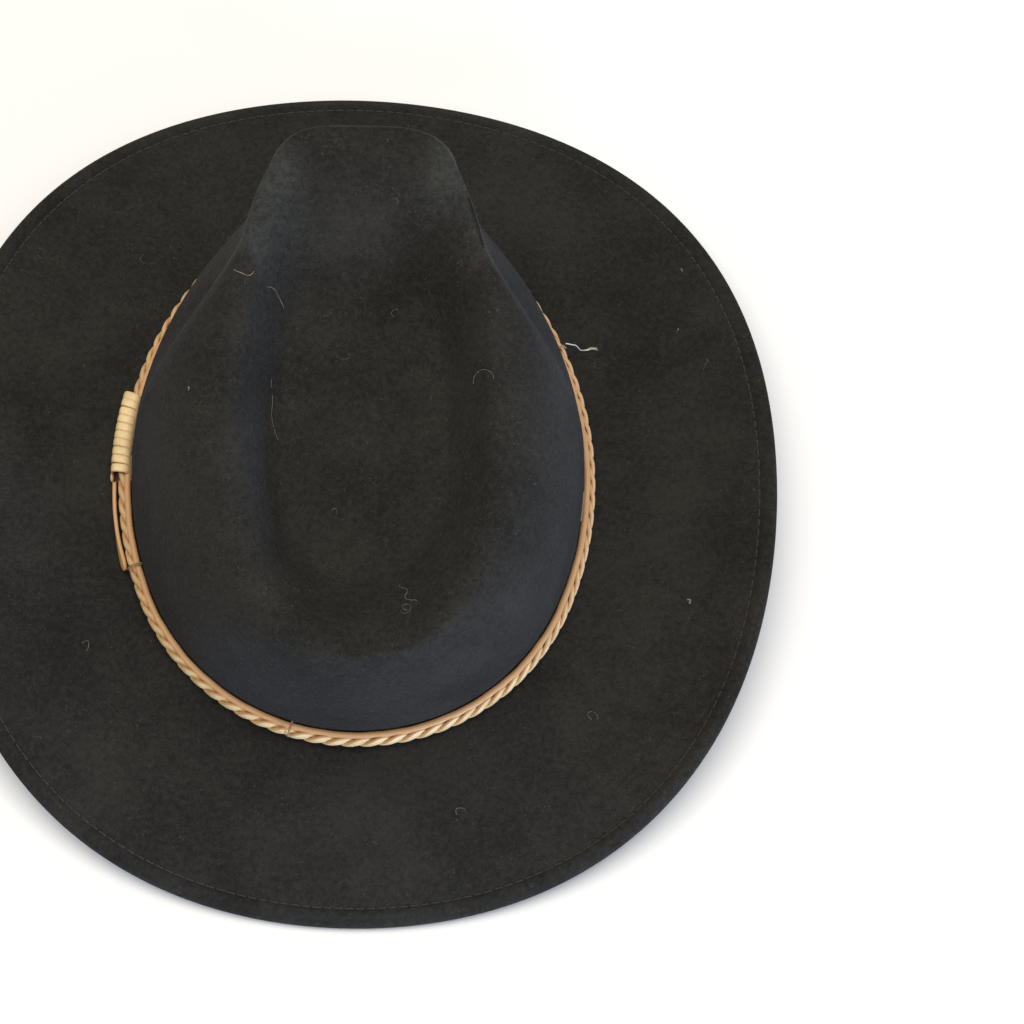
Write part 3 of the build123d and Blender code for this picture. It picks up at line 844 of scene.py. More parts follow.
def lace_material(name, face, edge, back):
    """Leather lace: its grain face, cut edges and flesh face, told by the piece's own masks."""
    material, tree, shader, place = new_material(name, 0.42)
    grain = placed_group(tree, "leather_grain")
    dust = placed_group(tree, "dust")
    for group in (grain, dust):
        tree.links.new(place.outputs["Object"], group.inputs["Vector"])
    grain.inputs["Pebbles"].default_value = 2600.0
    dust.inputs["Amount"].default_value = 0.35
    edge_mask = add_node(tree, "ShaderNodeAttribute", attribute_name="edge")
    back_mask = add_node(tree, "ShaderNodeAttribute", attribute_name="back")
    front = mixed(tree, grain.outputs["Tone"], dimmed(face, 0.82), face)
    wear_and_highlight = mixed(tree, edge_mask.outputs["Fac"], front, edge)
    turned = mixed(tree, back_mask.outputs["Fac"], wear_and_highlight, back)
    dusty = mixed(tree, dust.outputs["Mask"], turned, dimmed(edge, 0.5))
    tree.links.new(dusty, shader.inputs["Base Color"])
    shader.inputs["Specular IOR Level"].default_value = 0.4
    add_bump(tree, shader, grain.outputs["Height"], 0.35, 0.12 * MM)
    return material


def thread_material(name, tint, pitch):
    """Twisted thread: slanted plies from its UV map, with a little fuzz in the tone."""
    material, tree, shader, place = new_material(name, 0.75)
    run = add_node(tree, "ShaderNodeUVMap", uv_map="run")
    twist = placed_group(tree, "thread_twist")
    tree.links.new(run.outputs["UV"], twist.inputs["Map"])
    twist.inputs["Pitch"].default_value = pitch
    tone = ramp(tree, noise(tree, place.outputs["Object"], 900.0), 0.25, 0.75)
    fuzz = maths(tree, "ADD", maths(tree, "MULTIPLY", tone, 0.4), 0.6)
    shade = maths(tree, "MULTIPLY", twist.outputs["Shade"], fuzz)
    tree.links.new(mixed(tree, shade, dimmed(tint, 0.35), dimmed(tint, 1.15)), shader.inputs["Base Color"])
    shader.inputs["Sheen Weight"].default_value = 0.15
    add_bump(tree, shader, twist.outputs["Height"], 0.6, 0.1 * MM)
    return material


def leather_material():
    """Sweatband leather: brown-black with a smooth grain, polished where it has seen wear."""
    colours = bpy.context.scene.hat_colours
    material, tree, shader, place = new_material("sweatband_leather", 0.4)
    grain = placed_group(tree, "leather_grain")
    tree.links.new(place.outputs["Object"], grain.inputs["Vector"])
    grain.inputs["Pebbles"].default_value = 1100.0
    tone = mixed(tree, grain.outputs["Tone"], dimmed(colours.sweatband, 0.7), dimmed(colours.sweatband, 1.35))
    tree.links.new(tone, shader.inputs["Base Color"])
    tree.links.new(ramp(tree, grain.outputs["Tone"], 1.6, -1.2), shader.inputs["Roughness"])
    add_bump(tree, shader, grain.outputs["Height"], 0.4, 0.25 * MM)
    return material


def woven_material(name, tint, threads):
    """Woven tape: crossed bands read from Object coordinates, upright and round the head."""
    material, tree, shader, place = new_material(name, 0.85)
    parts = add_node(tree, "ShaderNodeSeparateXYZ")
    tree.links.new(place.outputs["Object"], parts.inputs[0])
    waves = []
    for axis in ("X", "Z"):
        wave = maths(tree, "SINE", maths(tree, "MULTIPLY", parts.outputs[axis], 2 * pi * threads), 0.0)
        waves.append(maths(tree, "MULTIPLY", maths(tree, "ADD", wave, 1.0), 0.5))
    cloth = maths(tree, "ADD", *waves)
    dust = placed_group(tree, "dust")
    tree.links.new(place.outputs["Object"], dust.inputs["Vector"])
    cloth_tone = mixed(tree, ramp(tree, cloth, 0.0, 1.6), dimmed(tint, 0.55), dimmed(tint, 1.2))
    dusty = mixed(tree, dust.outputs["Mask"], cloth_tone, dimmed(tint, 1.8))
    tree.links.new(dusty, shader.inputs["Base Color"])
    add_bump(tree, shader, cloth, 0.5, 0.1 * MM)
    return material


def reed_material():
    """Extruded plastic reed: near black, with faint drawing marks."""
    colours = bpy.context.scene.hat_colours
    material, tree, shader, place = new_material("reed_plastic", 0.45)
    marks = ramp(tree, noise(tree, place.outputs["Object"], 700.0, 3.0), 0.3, 0.7)
    tree.links.new(mixed(tree, marks, dimmed(colours.reed, 0.7), dimmed(colours.reed, 1.3)),
                   shader.inputs["Base Color"])
    add_bump(tree, shader, marks, 0.2, 0.05 * MM)
    return material


def wire_material():
    """Drawn steel wire: grey metal with dull patches."""
    colours = bpy.context.scene.hat_colours
    material, tree, shader, place = new_material("drawn_wire", 0.35)
    shader.inputs["Metallic"].default_value = 1.0
    dull = ramp(tree, noise(tree, place.outputs["Object"], 320.0, 4.0), 0.35, 0.7)
    tree.links.new(mixed(tree, dull, colours.wire, dimmed(colours.wire, 0.55)), shader.inputs["Base Color"])
    add_bump(tree, shader, dull, 0.15, 0.05 * MM)
    return material


def floor_material():
    """Plain pale floor, with the faintest tone in it."""
    colours = bpy.context.scene.hat_colours
    material, tree, shader, place = new_material("pale_floor", 0.9)
    tone = ramp(tree, noise(tree, place.outputs["Object"], 3.0), 0.2, 0.8)
    tree.links.new(mixed(tree, tone, dimmed(colours.floor, 0.99), colours.floor), shader.inputs["Base Color"])
    shader.inputs["Specular IOR Level"].default_value = 0.1
    return material


def shared_material(name, maker, *values):
    """The named material, made the first time it is asked for."""
    return bpy.data.materials.get(name) or maker(*values)


def thread_piece(name, made, kind, tint, slot):
    """A piece of thread on the hat, from the points, faces and UVs of its tubes."""
    return add_piece(name, *made[:3], thread(kind, tint), "hat", slot, uv=made[3])


def lace():
    """The natural lace of the band and its keeper."""
    colours = bpy.context.scene.hat_colours
    return shared_material(
        "natural_lace", lace_material, "natural_lace",
        colours.lace_grain, colours.lace_edge, colours.lace_flesh,
    )


def thread(name, tint):
    """A sewing thread of one colour."""
    return shared_material(name, thread_material, name, tint, THREAD_PITCH)


# ---------------------------------------------------------------- Operators


class HAT_OT_stage(bpy.types.Operator):
    """Floor, soft lights and camera"""

    bl_idname = "hat.stage"
    bl_label = "Stage"

    def execute(self, context):
        stage = context.scene.hat_stage
        floor_half = 6.0
        corners = [(-floor_half, -floor_half, 0), (floor_half, -floor_half, 0),
                   (floor_half, floor_half, 0), (-floor_half, floor_half, 0)]
        mesh = bpy.data.meshes.new("floor")
        mesh.from_pydata(corners, [], [(0, 1, 2, 3)])
        mesh.materials.append(floor_material())
        floor = bpy.data.objects.new("floor", mesh)
        context.scene.collection.objects.link(floor)

        world = bpy.data.worlds.new("soft_studio")
        world.use_nodes = True
        sky = world.node_tree.nodes["Background"]
        sky.inputs["Color"].default_value = (1.0, 0.99, 0.97, 1.0)
        sky.inputs["Strength"].default_value = stage.world_light
        context.scene.world = world
        context.scene.view_settings.view_transform = "Standard"

        self.add_light("overhead", stage.overhead_power, 1.4, (1.0, 0.95, 0.87), (-0.1, 0.1, 1.7))
        self.add_light("window", stage.window_power, 0.45, (0.5, 0.66, 1.0), (1.45, -1.85, 0.3))

        aim = Vector(stage.aim)
        level = Vector((sin(stage.turn), -cos(stage.turn), 0)) * cos(stage.elevation)
        place = aim + (level + Vector((0, 0, sin(stage.elevation)))) * stage.distance
        camera_data = bpy.data.cameras.new("camera")
        camera_data.sensor_width = 36.0
        camera_data.lens = stage.lens
        camera_data.clip_start = 0.05
        camera = bpy.data.objects.new("camera", camera_data)
        facing = (place - aim).to_track_quat("Z", "Y").to_matrix().to_4x4()
        camera.matrix_world = Matrix.Translation(place) @ facing @ Matrix.Rotation(stage.roll, 4, "Z")
        context.scene.collection.objects.link(camera)
        context.scene.camera = camera
        return {"FINISHED"}

    def add_light(self, name, power, spread, tint, place):
        """A square soft light that faces the hat."""
        data = bpy.data.lights.new(name, "AREA")
        data.energy = power
        data.size = spread
        data.color = tint
        lamp = bpy.data.objects.new(name, data)
        facing = Vector(place).to_track_quat("Z", "Y").to_matrix().to_4x4()
        lamp.matrix_world = Matrix.Translation(place) @ facing
        bpy.context.scene.collection.objects.link(lamp)


class HAT_OT_tail(bpy.types.Operator):
    """Free end of the keeper's lace, lying back along the band"""

    bl_idname = "hat.lace_tail"
    bl_label = "Lace tail"

    def execute(self, context):
        sizes = context.scene.hat_band
        keeper_radius = OVAL_SIDE_RADIUS + KEEPER_OFFSET
        side_centre = OVAL_SIDE_RADIUS - OVAL_HALF_WIDTH
        start = pi - asin(KEEPER_MIDDLE / keeper_radius) + keeper_length() / keeper_radius / 2
        route = []
        for along, out in TAIL_ROUTE:
            turn = start + along * MM / (OVAL_SIDE_RADIUS + TAIL_OFFSET)
            radius = OVAL_SIDE_RADIUS + TAIL_OFFSET + out * MM
            route.append((side_centre + radius * cos(turn), radius * sin(turn), BREAK_HEIGHT + TAIL_HEIGHT))
        path = route_points(route)
        steps = len(path)
        share = np.linspace(0, 1, steps)
        tangent = unit(np.gradient(path, axis=0))
        turn = radians(20) * smooth_step((share - 0.5) / 0.5)
        upright = np.array([0, 0, 1.0])
        outward = unit(np.cross(tangent, upright))
        across = np.cos(turn)[:, None] * upright + np.sin(turn)[:, None] * -outward
        through = np.cross(tangent, across)
        tip = np.sqrt(np.maximum(0, 1 - np.clip((share - 0.93) / 0.07, 0, 0.98) ** 2))
        profile = flat_profile(1.0, 1.0, 16, 4.0)
        sides = len(profile)
        rings = carried(path, across * (sizes.tail_width * tip)[:, None],
                        through * (sizes.tail_thickness * (0.6 + 0.4 * tip))[:, None], profile)
        quads, caps = grid_quads(steps, sides), end_caps(steps, sides)
        edge = np.broadcast_to(smooth_step((abs(profile[:, 0]) - 0.4) / 0.08), (steps, sides))
        back = np.broadcast_to(smooth_step(abs(profile[:, 1]) * 4 - 1) * (1 - edge[0]), (steps, sides))
        colours = context.scene.hat_colours
        leather = shared_material(
            "tan_lace", lace_material, "tan_lace", colours.lace_tan, colours.lace_edge,
            dimmed(colours.lace_tan, 0.8),
        )
        tail = add_piece("keeper_tail", rings, quads, caps, leather, "keeper", "lace",
                         masks={"edge": edge, "back": back})
        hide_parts("lace_tail")
        return {"FINISHED"}


def keeper_length():
    """Length of the keeper, as it spans the hat's side."""
    return KEEPER_HIGH.y - KEEPER_LOW.y


def route_points(route):
    """Points along the smooth NURBS line that a route controls."""
    curve = bpy.data.curves.new("route", "CURVE")
    curve.dimensions = "3D"
    curve.resolution_u = 12
    spline = curve.splines.new("NURBS")
    spline.points.add(len(route) - 1)
    for control, place in zip(spline.points, route):
        control.co = (*place, 1.0)
    spline.order_u = 3
    spline.use_endpoint_u = True
    holder = bpy.data.objects.new("route", curve)
    bpy.context.scene.collection.objects.link(holder)
    bpy.context.view_layer.update()
    line = bpy.data.meshes.new_from_object(holder.evaluated_get(bpy.context.evaluated_depsgraph_get()))
    points = np.empty(len(line.vertices) * 3)
    line.vertices.foreach_get("co", points)
    bpy.data.objects.remove(holder)
    bpy.data.meshes.remove(line)
    return points.reshape(-1, 3)


class HAT_OT_felt_body(bpy.types.Operator):
    """Felt body: dented crown, brim, folded hem and inner face, in one closed skin"""

    bl_idname = "hat.felt_body"
    bl_label = "Felt body"

    def execute(self, context):
        sizes = context.scene.hat_felt
        top, angles, normals = felt_top()
        rounding = HEM_THICKNESS / 2
        groove = sizes.stitch_inset
        roll = 0.5 * MM
        profile = [
            (groove + 1.2 * MM, 0.0), (groove + 0.5 * MM, 0.12 * MM), (groove, 0.5 * MM),
            (groove - 0.5 * MM, 0.12 * MM), (groove - 1.2 * MM, -0.7 * roll), (groove - 2.2 * MM, -roll),
            (groove - 3.2 * MM, -0.8 * roll), (groove - 3.7 * MM, -0.3 * roll),
        ]
        for turn in np.radians([90, 65, 40, 15, -10, -35, -60, -90]):
            profile.append((rounding * (1 - cos(turn)), rounding * (1 - sin(turn))))
        profile += [
            (groove - 2.6 * MM, HEM_THICKNESS), (groove - 0.4 * MM, HEM_THICKNESS - 0.1 * MM),
            (sizes.hem_width - 0.3 * MM, HEM_THICKNESS - 0.3 * MM),
            (sizes.hem_width, HEM_THICKNESS - 0.9 * MM),
            (sizes.hem_width, sizes.thickness + 0.3 * MM), (sizes.hem_width + 0.3 * MM, sizes.thickness),
        ]
        inner = (top - normals * sizes.thickness)[::-2]
        points = np.concatenate([top, hem_rows(profile, angles), inner])
        rows, columns = points.shape[:2]
        quads = grid_quads(rows, columns)
        middles = np.stack([points[0].mean(0), points[-1].mean(0)])
        middles[1] = middles[0] - (0, 0, sizes.thickness)
        ring = np.arange(columns)
        after = (ring + 1) % columns
        last = (rows - 1) * columns
        first_pole = np.stack([rows * columns + 0 * ring, ring, after], -1)
        last_pole = np.stack([rows * columns + 1 + 0 * ring, last + after, last + ring], -1)
        # Mask of the pale line along the pinch crease: part felt wear, part painted highlight.
        wear_and_highlight = np.zeros(rows * columns + 2)
        crown = top[: DENT_ROWS + WALL_ROWS]
        level = (crown[..., 2] - BREAK_HEIGHT) / (CREST_HEIGHT + CREST_SLOPE * crown[..., 1])
        level[:DENT_ROWS] = 2 - level[:DENT_ROWS]
        wear_and_highlight[: level.size] = crease(level, angles).ravel()
        body = add_piece(
            "felt_body", np.concatenate([points.reshape(-1, 3), middles]), quads,
            np.concatenate([first_pole, last_pole]),
            shared_material("wool_felt", felt_material), "hat", "felt", masks={"wear_and_highlight": wear_and_highlight},
        )
        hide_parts("felt_crown", "felt_brim")
        return {"FINISHED"}


class HAT_OT_felt_nap(bpy.types.Operator):
    """Loose fibres standing on the felt, and the lint and hairs caught in it"""

    bl_idname = "hat.felt_nap"
    bl_label = "Felt nap"

    def execute(self, context):
        colours = context.scene.hat_colours
        top, _, normals = felt_top()
        random = np.random.default_rng(7)
        fibres = self.fibres(top, normals, context.scene.hat_felt.fibres, random)
        add_piece("felt_fibres", *fibres[:3], fibre_material("felt_fibre", colours.fibre), "hat", "felt")
        lint = joined([self.hair(top, *hair) for hair in HAIRS])
        add_piece("felt_lint", *lint[:3], fibre_material("pale_lint", colours.lint), "hat", "felt")
        return {"FINISHED"}

    def fibres(self, top, normals, count, random):
        """Short bent fibres: each leaves the felt at a slant, curls once and comes back to it."""
        areas = np.linalg.norm(
            np.cross(np.gradient(top, axis=0), np.gradient(top, axis=1)), axis=-1
        ).ravel()
        chosen = random.choice(len(areas), count, p=areas / areas.sum())
        base = top.reshape(-1, 3)[chosen] + random.uniform(-0.8, 0.8, (count, 3)) * MM * (1, 1, 0)
        normal = normals.reshape(-1, 3)[chosen]
        heading = unit(np.cross(normal, random.normal(size=(count, 3))))
        sideways = np.cross(normal, heading)
        length = random.uniform(0.4, 1.8, (count, 1, 1)) * MM
        curl = random.normal(0, 0.5, (count, 1, 1))
        rise = random.uniform(0.05, 0.3, (count, 1, 1)) * MM
        t = np.linspace(0, 1, 3)[None, :, None]
        paths = base[:, None] + heading[:, None] * length * t + sideways[:, None] * length * curl * t * t
        paths = paths + normal[:, None] * (rise * np.sin(pi * t) - 0.04 * MM)
        radius = random.uniform(0.012, 0.03, (count, 1)) * MM
        return tube_set(paths, np.broadcast_to(normal[:, None], paths.shape), radius, 3)

    def hair(self, top, x, y, heading, length, curl, wave, radius):
        """One hair from a point of the hat's plan: its heading turns steadily and swings as a sine.

        The line is the running sum of small steps along that heading, laid on the nearest felt.
        """
        steps = 48
        t = np.linspace(0, 1, steps)
        direction = radians(heading) + curl * t * 2 * pi + wave * np.sin(3 * t * pi)
        stride = length * MM / steps
        plan = level_direction(direction)[:, :2].cumsum(0) * stride + np.array([x, y]) * MM
        flat = top.reshape(-1, 3)
        nearest = np.linalg.norm(flat[None, :, :2] - plan[:, None], axis=-1).argmin(1)
        height = flat[nearest, 2]
        height = np.convolve(np.pad(height, 4, mode="edge"), np.ones(9) / 9, mode="valid")
        lifted = height + (0.12 + 0.35 * np.sin(pi * t)) * MM
        path = np.concatenate([plan, lifted[:, None]], -1)[None]
        return tube_set(path, np.array([0, 0, 1.0]), radius * MM, 5)


# Hairs and lint: plan position (mm), heading (degrees), length (mm), turns of curl, swing, radius (mm)
HAIRS = (
    (-47.5, 44.5, -60.0, 9.0, 0.32, 0.3, 0.09),
    (-36.0, 41.0, 20.0, 9.0, -0.3, 0.3, 0.06),
    (-33.0, 12.0, -95.0, 22.0, 0.06, 0.15, 0.04),
    (14.5, -62.0, -85.0, 13.0, 0.1, 0.9, 0.05),
    (15.0, -74.0, -100.0, 15.0, 1.4, 0.3, 0.045),
    (39.0, 8.0, 100.0, 12.0, -0.55, 0.2, 0.05),
    (133.0, 49.0, 50.0, 5.0, 0.1, 0.3, 0.05),
    (126.5, -46.0, 20.0, 2.4, 0.5, 0.2, 0.34),
    (125.5, 91.0, 70.0, 1.6, 0.3, 0.2, 0.14),
    (123.0, 65.5, 10.0, 1.4, 0.3, 0.2, 0.13),
    (-86.0, 92.0, 200.0, 5.0, 0.4, 0.3, 0.05),
    (92.0, -91.0, 50.0, 9.0, 0.8, 0.3, 0.05),
    (40.0, -128.0, 120.0, 6.0, -0.5, 0.3, 0.05),
    (-100.0, -70.0, 10.0, 7.0, 0.6, 0.4, 0.05),
    (12.0, 40.0, 150.0, 5.0, 0.5, 0.3, 0.04),
    (-10.0, -35.0, 80.0, 4.0, -0.6, 0.3, 0.04),
    (-62.0, 2.0, 30.0, 1.5, 0.4, 0.2, 0.14),
    (10.0, 72.0, 40.0, 4.0, 0.5, 0.3, 0.045),
    (-8.0, 20.0, -30.0, 5.0, 0.45, 0.3, 0.04),
    (33.0, 50.0, 10.0, 4.0, 0.6, 0.3, 0.04),
)


class HAT_OT_hem_stitching(bpy.types.Operator):
    """Lockstitches through the hem, in the groove on top and on the folded felt underneath"""

    bl_idname = "hat.hem_stitching"
    bl_label = "Hem stitching"

    def execute(self, context):
        sizes = context.scene.hat_felt
        inset = sizes.stitch_inset
        count = round(curve_length(lambda angles: brim_oval(angles, -inset)) / sizes.stitch_pitch)
        angles = even_angles(lambda values: brim_oval(values, -inset), count)
        step = 2 * pi / count
        share = np.linspace(-0.36, 0.36, 7)
        spread = angles[:, None] + share[None, :] * step
        sink = 1 - np.sqrt(np.maximum(0, 1 - (share / 0.37) ** 2))
        sets = []
        for depth, side in ((0.12 * MM, 1), (HEM_THICKNESS - 0.02 * MM, -1)):
            plan = brim_oval(spread, -inset)
            height = brim_height(plan[..., 0], plan[..., 1]) - depth - side * sink * 0.55 * MM
            paths = np.concatenate([plan, height[..., None]], -1)
            sets.append(tube_set(paths, np.array([0, 0, 1.0]), 0.26 * MM, 6))
        made = joined(sets)
        tint = context.scene.hat_colours.hem_thread
        stitches = thread_piece("hem_stitches", made, "hem_thread", tint, "thread")
        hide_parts("hem_thread")
        return {"FINISHED"}


class HAT_OT_band_plait(bpy.types.Operator):
    """Two laces plaited round the crown's foot, and a plain lace along their upper inner edge"""

    bl_idname = "hat.band_plait"
    bl_label = "Band plait"

    def execute(self, context):
        for strand, node in enumerate(("band_lace_lower", "band_lace_middle")):
            self.lace_piece(f"plait_lace_{strand + 1}", node, *self.plaited(strand))
        self.lace_piece("plait_lace_3", "band_lace_upper", *self.plain())
        return {"FINISHED"}

    def lace_piece(self, name, node, rings, edge, back):
        """Skin the rings of one lace, with masks for its cut edges and its flesh side."""
        quads = grid_quads(*rings.shape[:2], wrap_rows=True)
        masks = lace_masks(edge, back, len(rings))
        piece = add_piece(name, rings, quads, [], lace(), "hat", "lace", masks=masks)
        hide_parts(node)

    def plaited(self, strand):
        """A plaited lace: it rises and falls as a flattened sine while it sways out and in as a cosine."""
        sizes = bpy.context.scene.hat_band
        middle = BAND_OUT - sizes.plait_depth / 2 - PLAIT_INSET
        length = curve_length(lambda angles: head_oval(angles, middle))
        turns = round(length / (2 * sizes.plait_pitch))
        steps = turns * PLAIT_STEPS
        angles = even_angles(lambda values: head_oval(values, middle), steps)
        phase = 2 * pi * (np.arange(steps) / PLAIT_STEPS + strand / 2)
        sway = (sizes.plait_depth - sizes.lace_thickness) / 2
        plan = head_oval(angles, middle + sway * np.cos(phase))
        climb = (BAND_TOP - BAND_LOW - sizes.lace_width) / 2 - PLAIT_CLEARANCE
        swing = np.tanh(LOBE_FLATNESS * np.sin(phase)) / np.tanh(LOBE_FLATNESS)
        rise = BREAK_HEIGHT + (BAND_TOP + BAND_LOW) / 2 - PLAIT_CLEARANCE + climb * swing
        path = np.concatenate([plan, rise[:, None]], -1)
        tangent = ring_tangent(path)
        facing = np.stack([np.cos(angles), np.sin(angles), LOBE_TILT * np.sin(phase)], -1)
        across = unit(np.cross(facing, tangent))
        profile = flat_profile(sizes.lace_width, sizes.lace_thickness)
        edge = smooth_step((abs(profile[:, 0]) / sizes.lace_width - 0.4) / 0.07)
        back = smooth_step(-profile[:, 1] / sizes.lace_thickness * 4) * (1 - edge)
        return carried(path, across, np.cross(tangent, across), profile), edge, back

    def plain(self):
        """The plain lace: it stands on edge inside the plait's upper half and wanders slightly."""
        sizes = bpy.context.scene.hat_band
        width = sizes.plain_width
        place = BAND_OUT - sizes.plait_depth - width / 2 + 0.5 * MM
        angles = even_angles(lambda values: head_oval(values, place), PLAIN_STEPS)
        wander = 0.08 * MM * np.sin(23 * angles) + 0.05 * MM * np.sin(57 * angles + 1)
        plan = head_oval(angles, place + wander)
        rise = BREAK_HEIGHT + BAND_TOP - sizes.lace_width / 2 + wander
        path = np.concatenate([plan, rise[:, None]], -1)
        tangent = ring_tangent(path)
        facing = level_direction(angles)
        across = unit(np.cross(facing, tangent))
        profile = flat_profile(sizes.lace_width, width, 16, 2.6)
        edge = smooth_step(profile[:, 0] / sizes.lace_width * 4)
        return carried(path, across, np.cross(tangent, across), profile), edge, 0 * edge


class HAT_OT_keeper(bpy.types.Operator):
    """Keeper: one flat lace wound in turns round the band"""

    bl_idname = "hat.keeper"
    bl_label = "Keeper"

    def execute(self, context):
        sizes = context.scene.hat_band
        random = np.random.default_rng(3)
        radius = OVAL_SIDE_RADIUS + KEEPER_OFFSET
        side_centre = OVAL_SIDE_RADIUS - OVAL_HALF_WIDTH
        span = keeper_length() / radius
        start = pi - asin(KEEPER_MIDDLE / radius) - span / 2
        pitch = keeper_length() / sizes.turns
        half_height = (KEEPER_HIGH.z - KEEPER_LOW.z - sizes.keeper_lace) / 2
        half_depth = KEEPER_HALF_DEPTH - sizes.keeper_lace / 2
        steps = sizes.turns * TURN_STEPS
        theta = np.linspace(0, 2 * pi * sizes.turns, steps)
        power = 2 / TURN_FLATNESS
        out = signed_power(np.cos(theta), power)
        up = signed_power(np.sin(theta), power)
        knots = np.arange(sizes.turns + 1)
        drift = np.interp(theta, 2 * pi * knots, random.normal(0, TURN_DRIFT, len(knots))) * MM
        along = (theta / (2 * pi) * (sizes.turns - 1) / sizes.turns + 0.5) * pitch + drift
        turn = start + along / radius
        outward = level_direction(turn)
        forward = np.stack([-np.sin(turn), np.cos(turn), 0 * turn], -1)
        upright = np.array([0, 0, 1.0])
        centre = np.array([side_centre, 0, (KEEPER_HIGH.z + KEEPER_LOW.z) / 2])
        path = centre + outward * (radius + half_depth * out)[:, None] + upright * (half_height * up)[:, None]
        normal_out = signed_power(np.cos(theta), 2 - power) / half_depth
        normal_up = signed_power(np.sin(theta), 2 - power) / half_height
        through = unit(outward * normal_out[:, None] + upright * normal_up[:, None])
        profile = flat_profile(pitch * 0.96, sizes.keeper_lace, 14, 2.9)
        sides = len(profile)
        rings = carried(path, forward, through, profile)
        quads, caps = grid_quads(steps, sides), end_caps(steps, sides)
        edge = smooth_step((abs(profile[:, 0]) / pitch - 0.41) / 0.06)
        back = smooth_step(-profile[:, 1] / sizes.keeper_lace * 4)
        masks = lace_masks(edge, back, steps)
        piece = add_piece("keeper_winding", rings, quads, caps, lace(), "keeper", "lace", masks=masks)
        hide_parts("keeper_wrap")
        return {"FINISHED"}


class HAT_OT_tacks(bpy.types.Operator):
    """Bar tacks in the crown's sides, loops that hold the band, and a loose thread end"""

    bl_idname = "hat.tacks"
    bl_label = "Thread tacks"

    def execute(self, context):
        colours = context.scene.hat_colours
        for node, side, middle, length in BAR_TACKS:
            bar = self.bar(node, side, middle * MM, length * MM)
            piece = thread_piece(node + "_threads", bar, "tan_thread", colours.tan_thread, "tan_thread")
            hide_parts(node)
        loops = joined([self.loop(radians(angle)) for angle in BAND_TACK_ANGLES])
        piece = thread_piece("band_tack_loops", loops, "tan_thread", colours.tan_thread, "thread")
        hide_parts("band_tacks")
        ends = self.loose_end(radians(BAND_TACK_ANGLES[0]))
        piece = thread_piece("loose_thread_end", ends, "pale_thread", colours.pale_thread, "pale_thread")
        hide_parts("loose_thread")
        return {"FINISHED"}

    def bar(self, node, side, middle, length):
        """A satin bar: thread wound in a flat helix along the felt, half of each turn sunk in it."""
        low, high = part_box(node)
        turns = round(length / BAR_THREAD_PITCH)
        t = np.linspace(0, 1, turns * 12)
        swing = 2 * pi * turns * t
        y = middle + length * (t - 0.5)
        angle = np.arcsin(y / OVAL_SIDE_RADIUS)
        angle = angle if side > 0 else pi - angle
        outward = level_direction(angle)
        fullness = 0.55 + 0.45 * np.sin(pi * t) ** 0.4
        wall = crown_wall(np.array([((low.z + high.z) / 2 - BREAK_HEIGHT) / CREST_HEIGHT]), angle)[0]
        rise = np.array([0, 0, 1.0])
        path = wall + outward * (0.3 * MM * np.cos(swing))[:, None]
        path = path + rise * (0.75 * MM * fullness * np.sin(swing))[:, None]
        sideways = np.stack([-np.sin(angle), np.cos(angle), 0 * angle], -1)
        return tube_set(path[None], sideways[None], 0.2 * MM, 6)

    def loop(self, angle):
        """Two turns of thread over the band's upper edge: arches from the felt to the band's face."""
        sizes = bpy.context.scene.hat_band
        t = np.linspace(0, 1, 20)
        strands = []
        for shift in (-0.35, 0.3):
            reach = BAND_OUT + 0.2 * MM
            out = reach * t
            up = BAND_TOP + 0.35 * MM + LOOP_RISE * np.sin(pi * t)
            up = up - LOOP_DROP * smooth_step((t - 0.72) / 0.28)
            place = head_oval(np.array([angle + shift * 0.006]))[0]
            plan = place + np.outer(out, (cos(angle), sin(angle)))
            strands.append(np.concatenate([plan, (BREAK_HEIGHT + up)[:, None]], -1))
        sideways = np.array([-sin(angle), cos(angle), 0])
        return tube_set(np.stack(strands), sideways, sizes.thread * 0.45, 6)

    def loose_end(self, angle):
        """The loose end: it drops over the band on an S-shaped slope, wanders, and frays into three."""
        t = np.linspace(0, 1, 60)
        place = head_oval(np.array([angle]))[0]
        strands = []
        radii = []
        for start, bend, lift, thick, taper in FRAYS:
            s = start + (1 - start) * t
            free = np.maximum(0, s - 0.55)
            out = (5.4 + 12.8 * s) * MM
            up = (1.7 + 8.9 / (1 + np.exp((s - 0.4) * 15)) + 6 * lift * free) * MM
            across = (-3.4 * s + 0.45 * np.sin(7 * s + 2) + 0.12 * np.sin(23 * s + 1) + bend * 8 * free) * MM
            plan = place + np.outer(out, (cos(angle), sin(angle)))
            plan = plan + np.outer(across, (-sin(angle), cos(angle)))
            strands.append(np.concatenate([plan, (BREAK_HEIGHT + up)[:, None]], -1))
            radii.append((thick - taper * t) * MM)
        return tube_set(np.stack(strands), np.array([-sin(angle), cos(angle), 0.2]), np.stack(radii), 6)


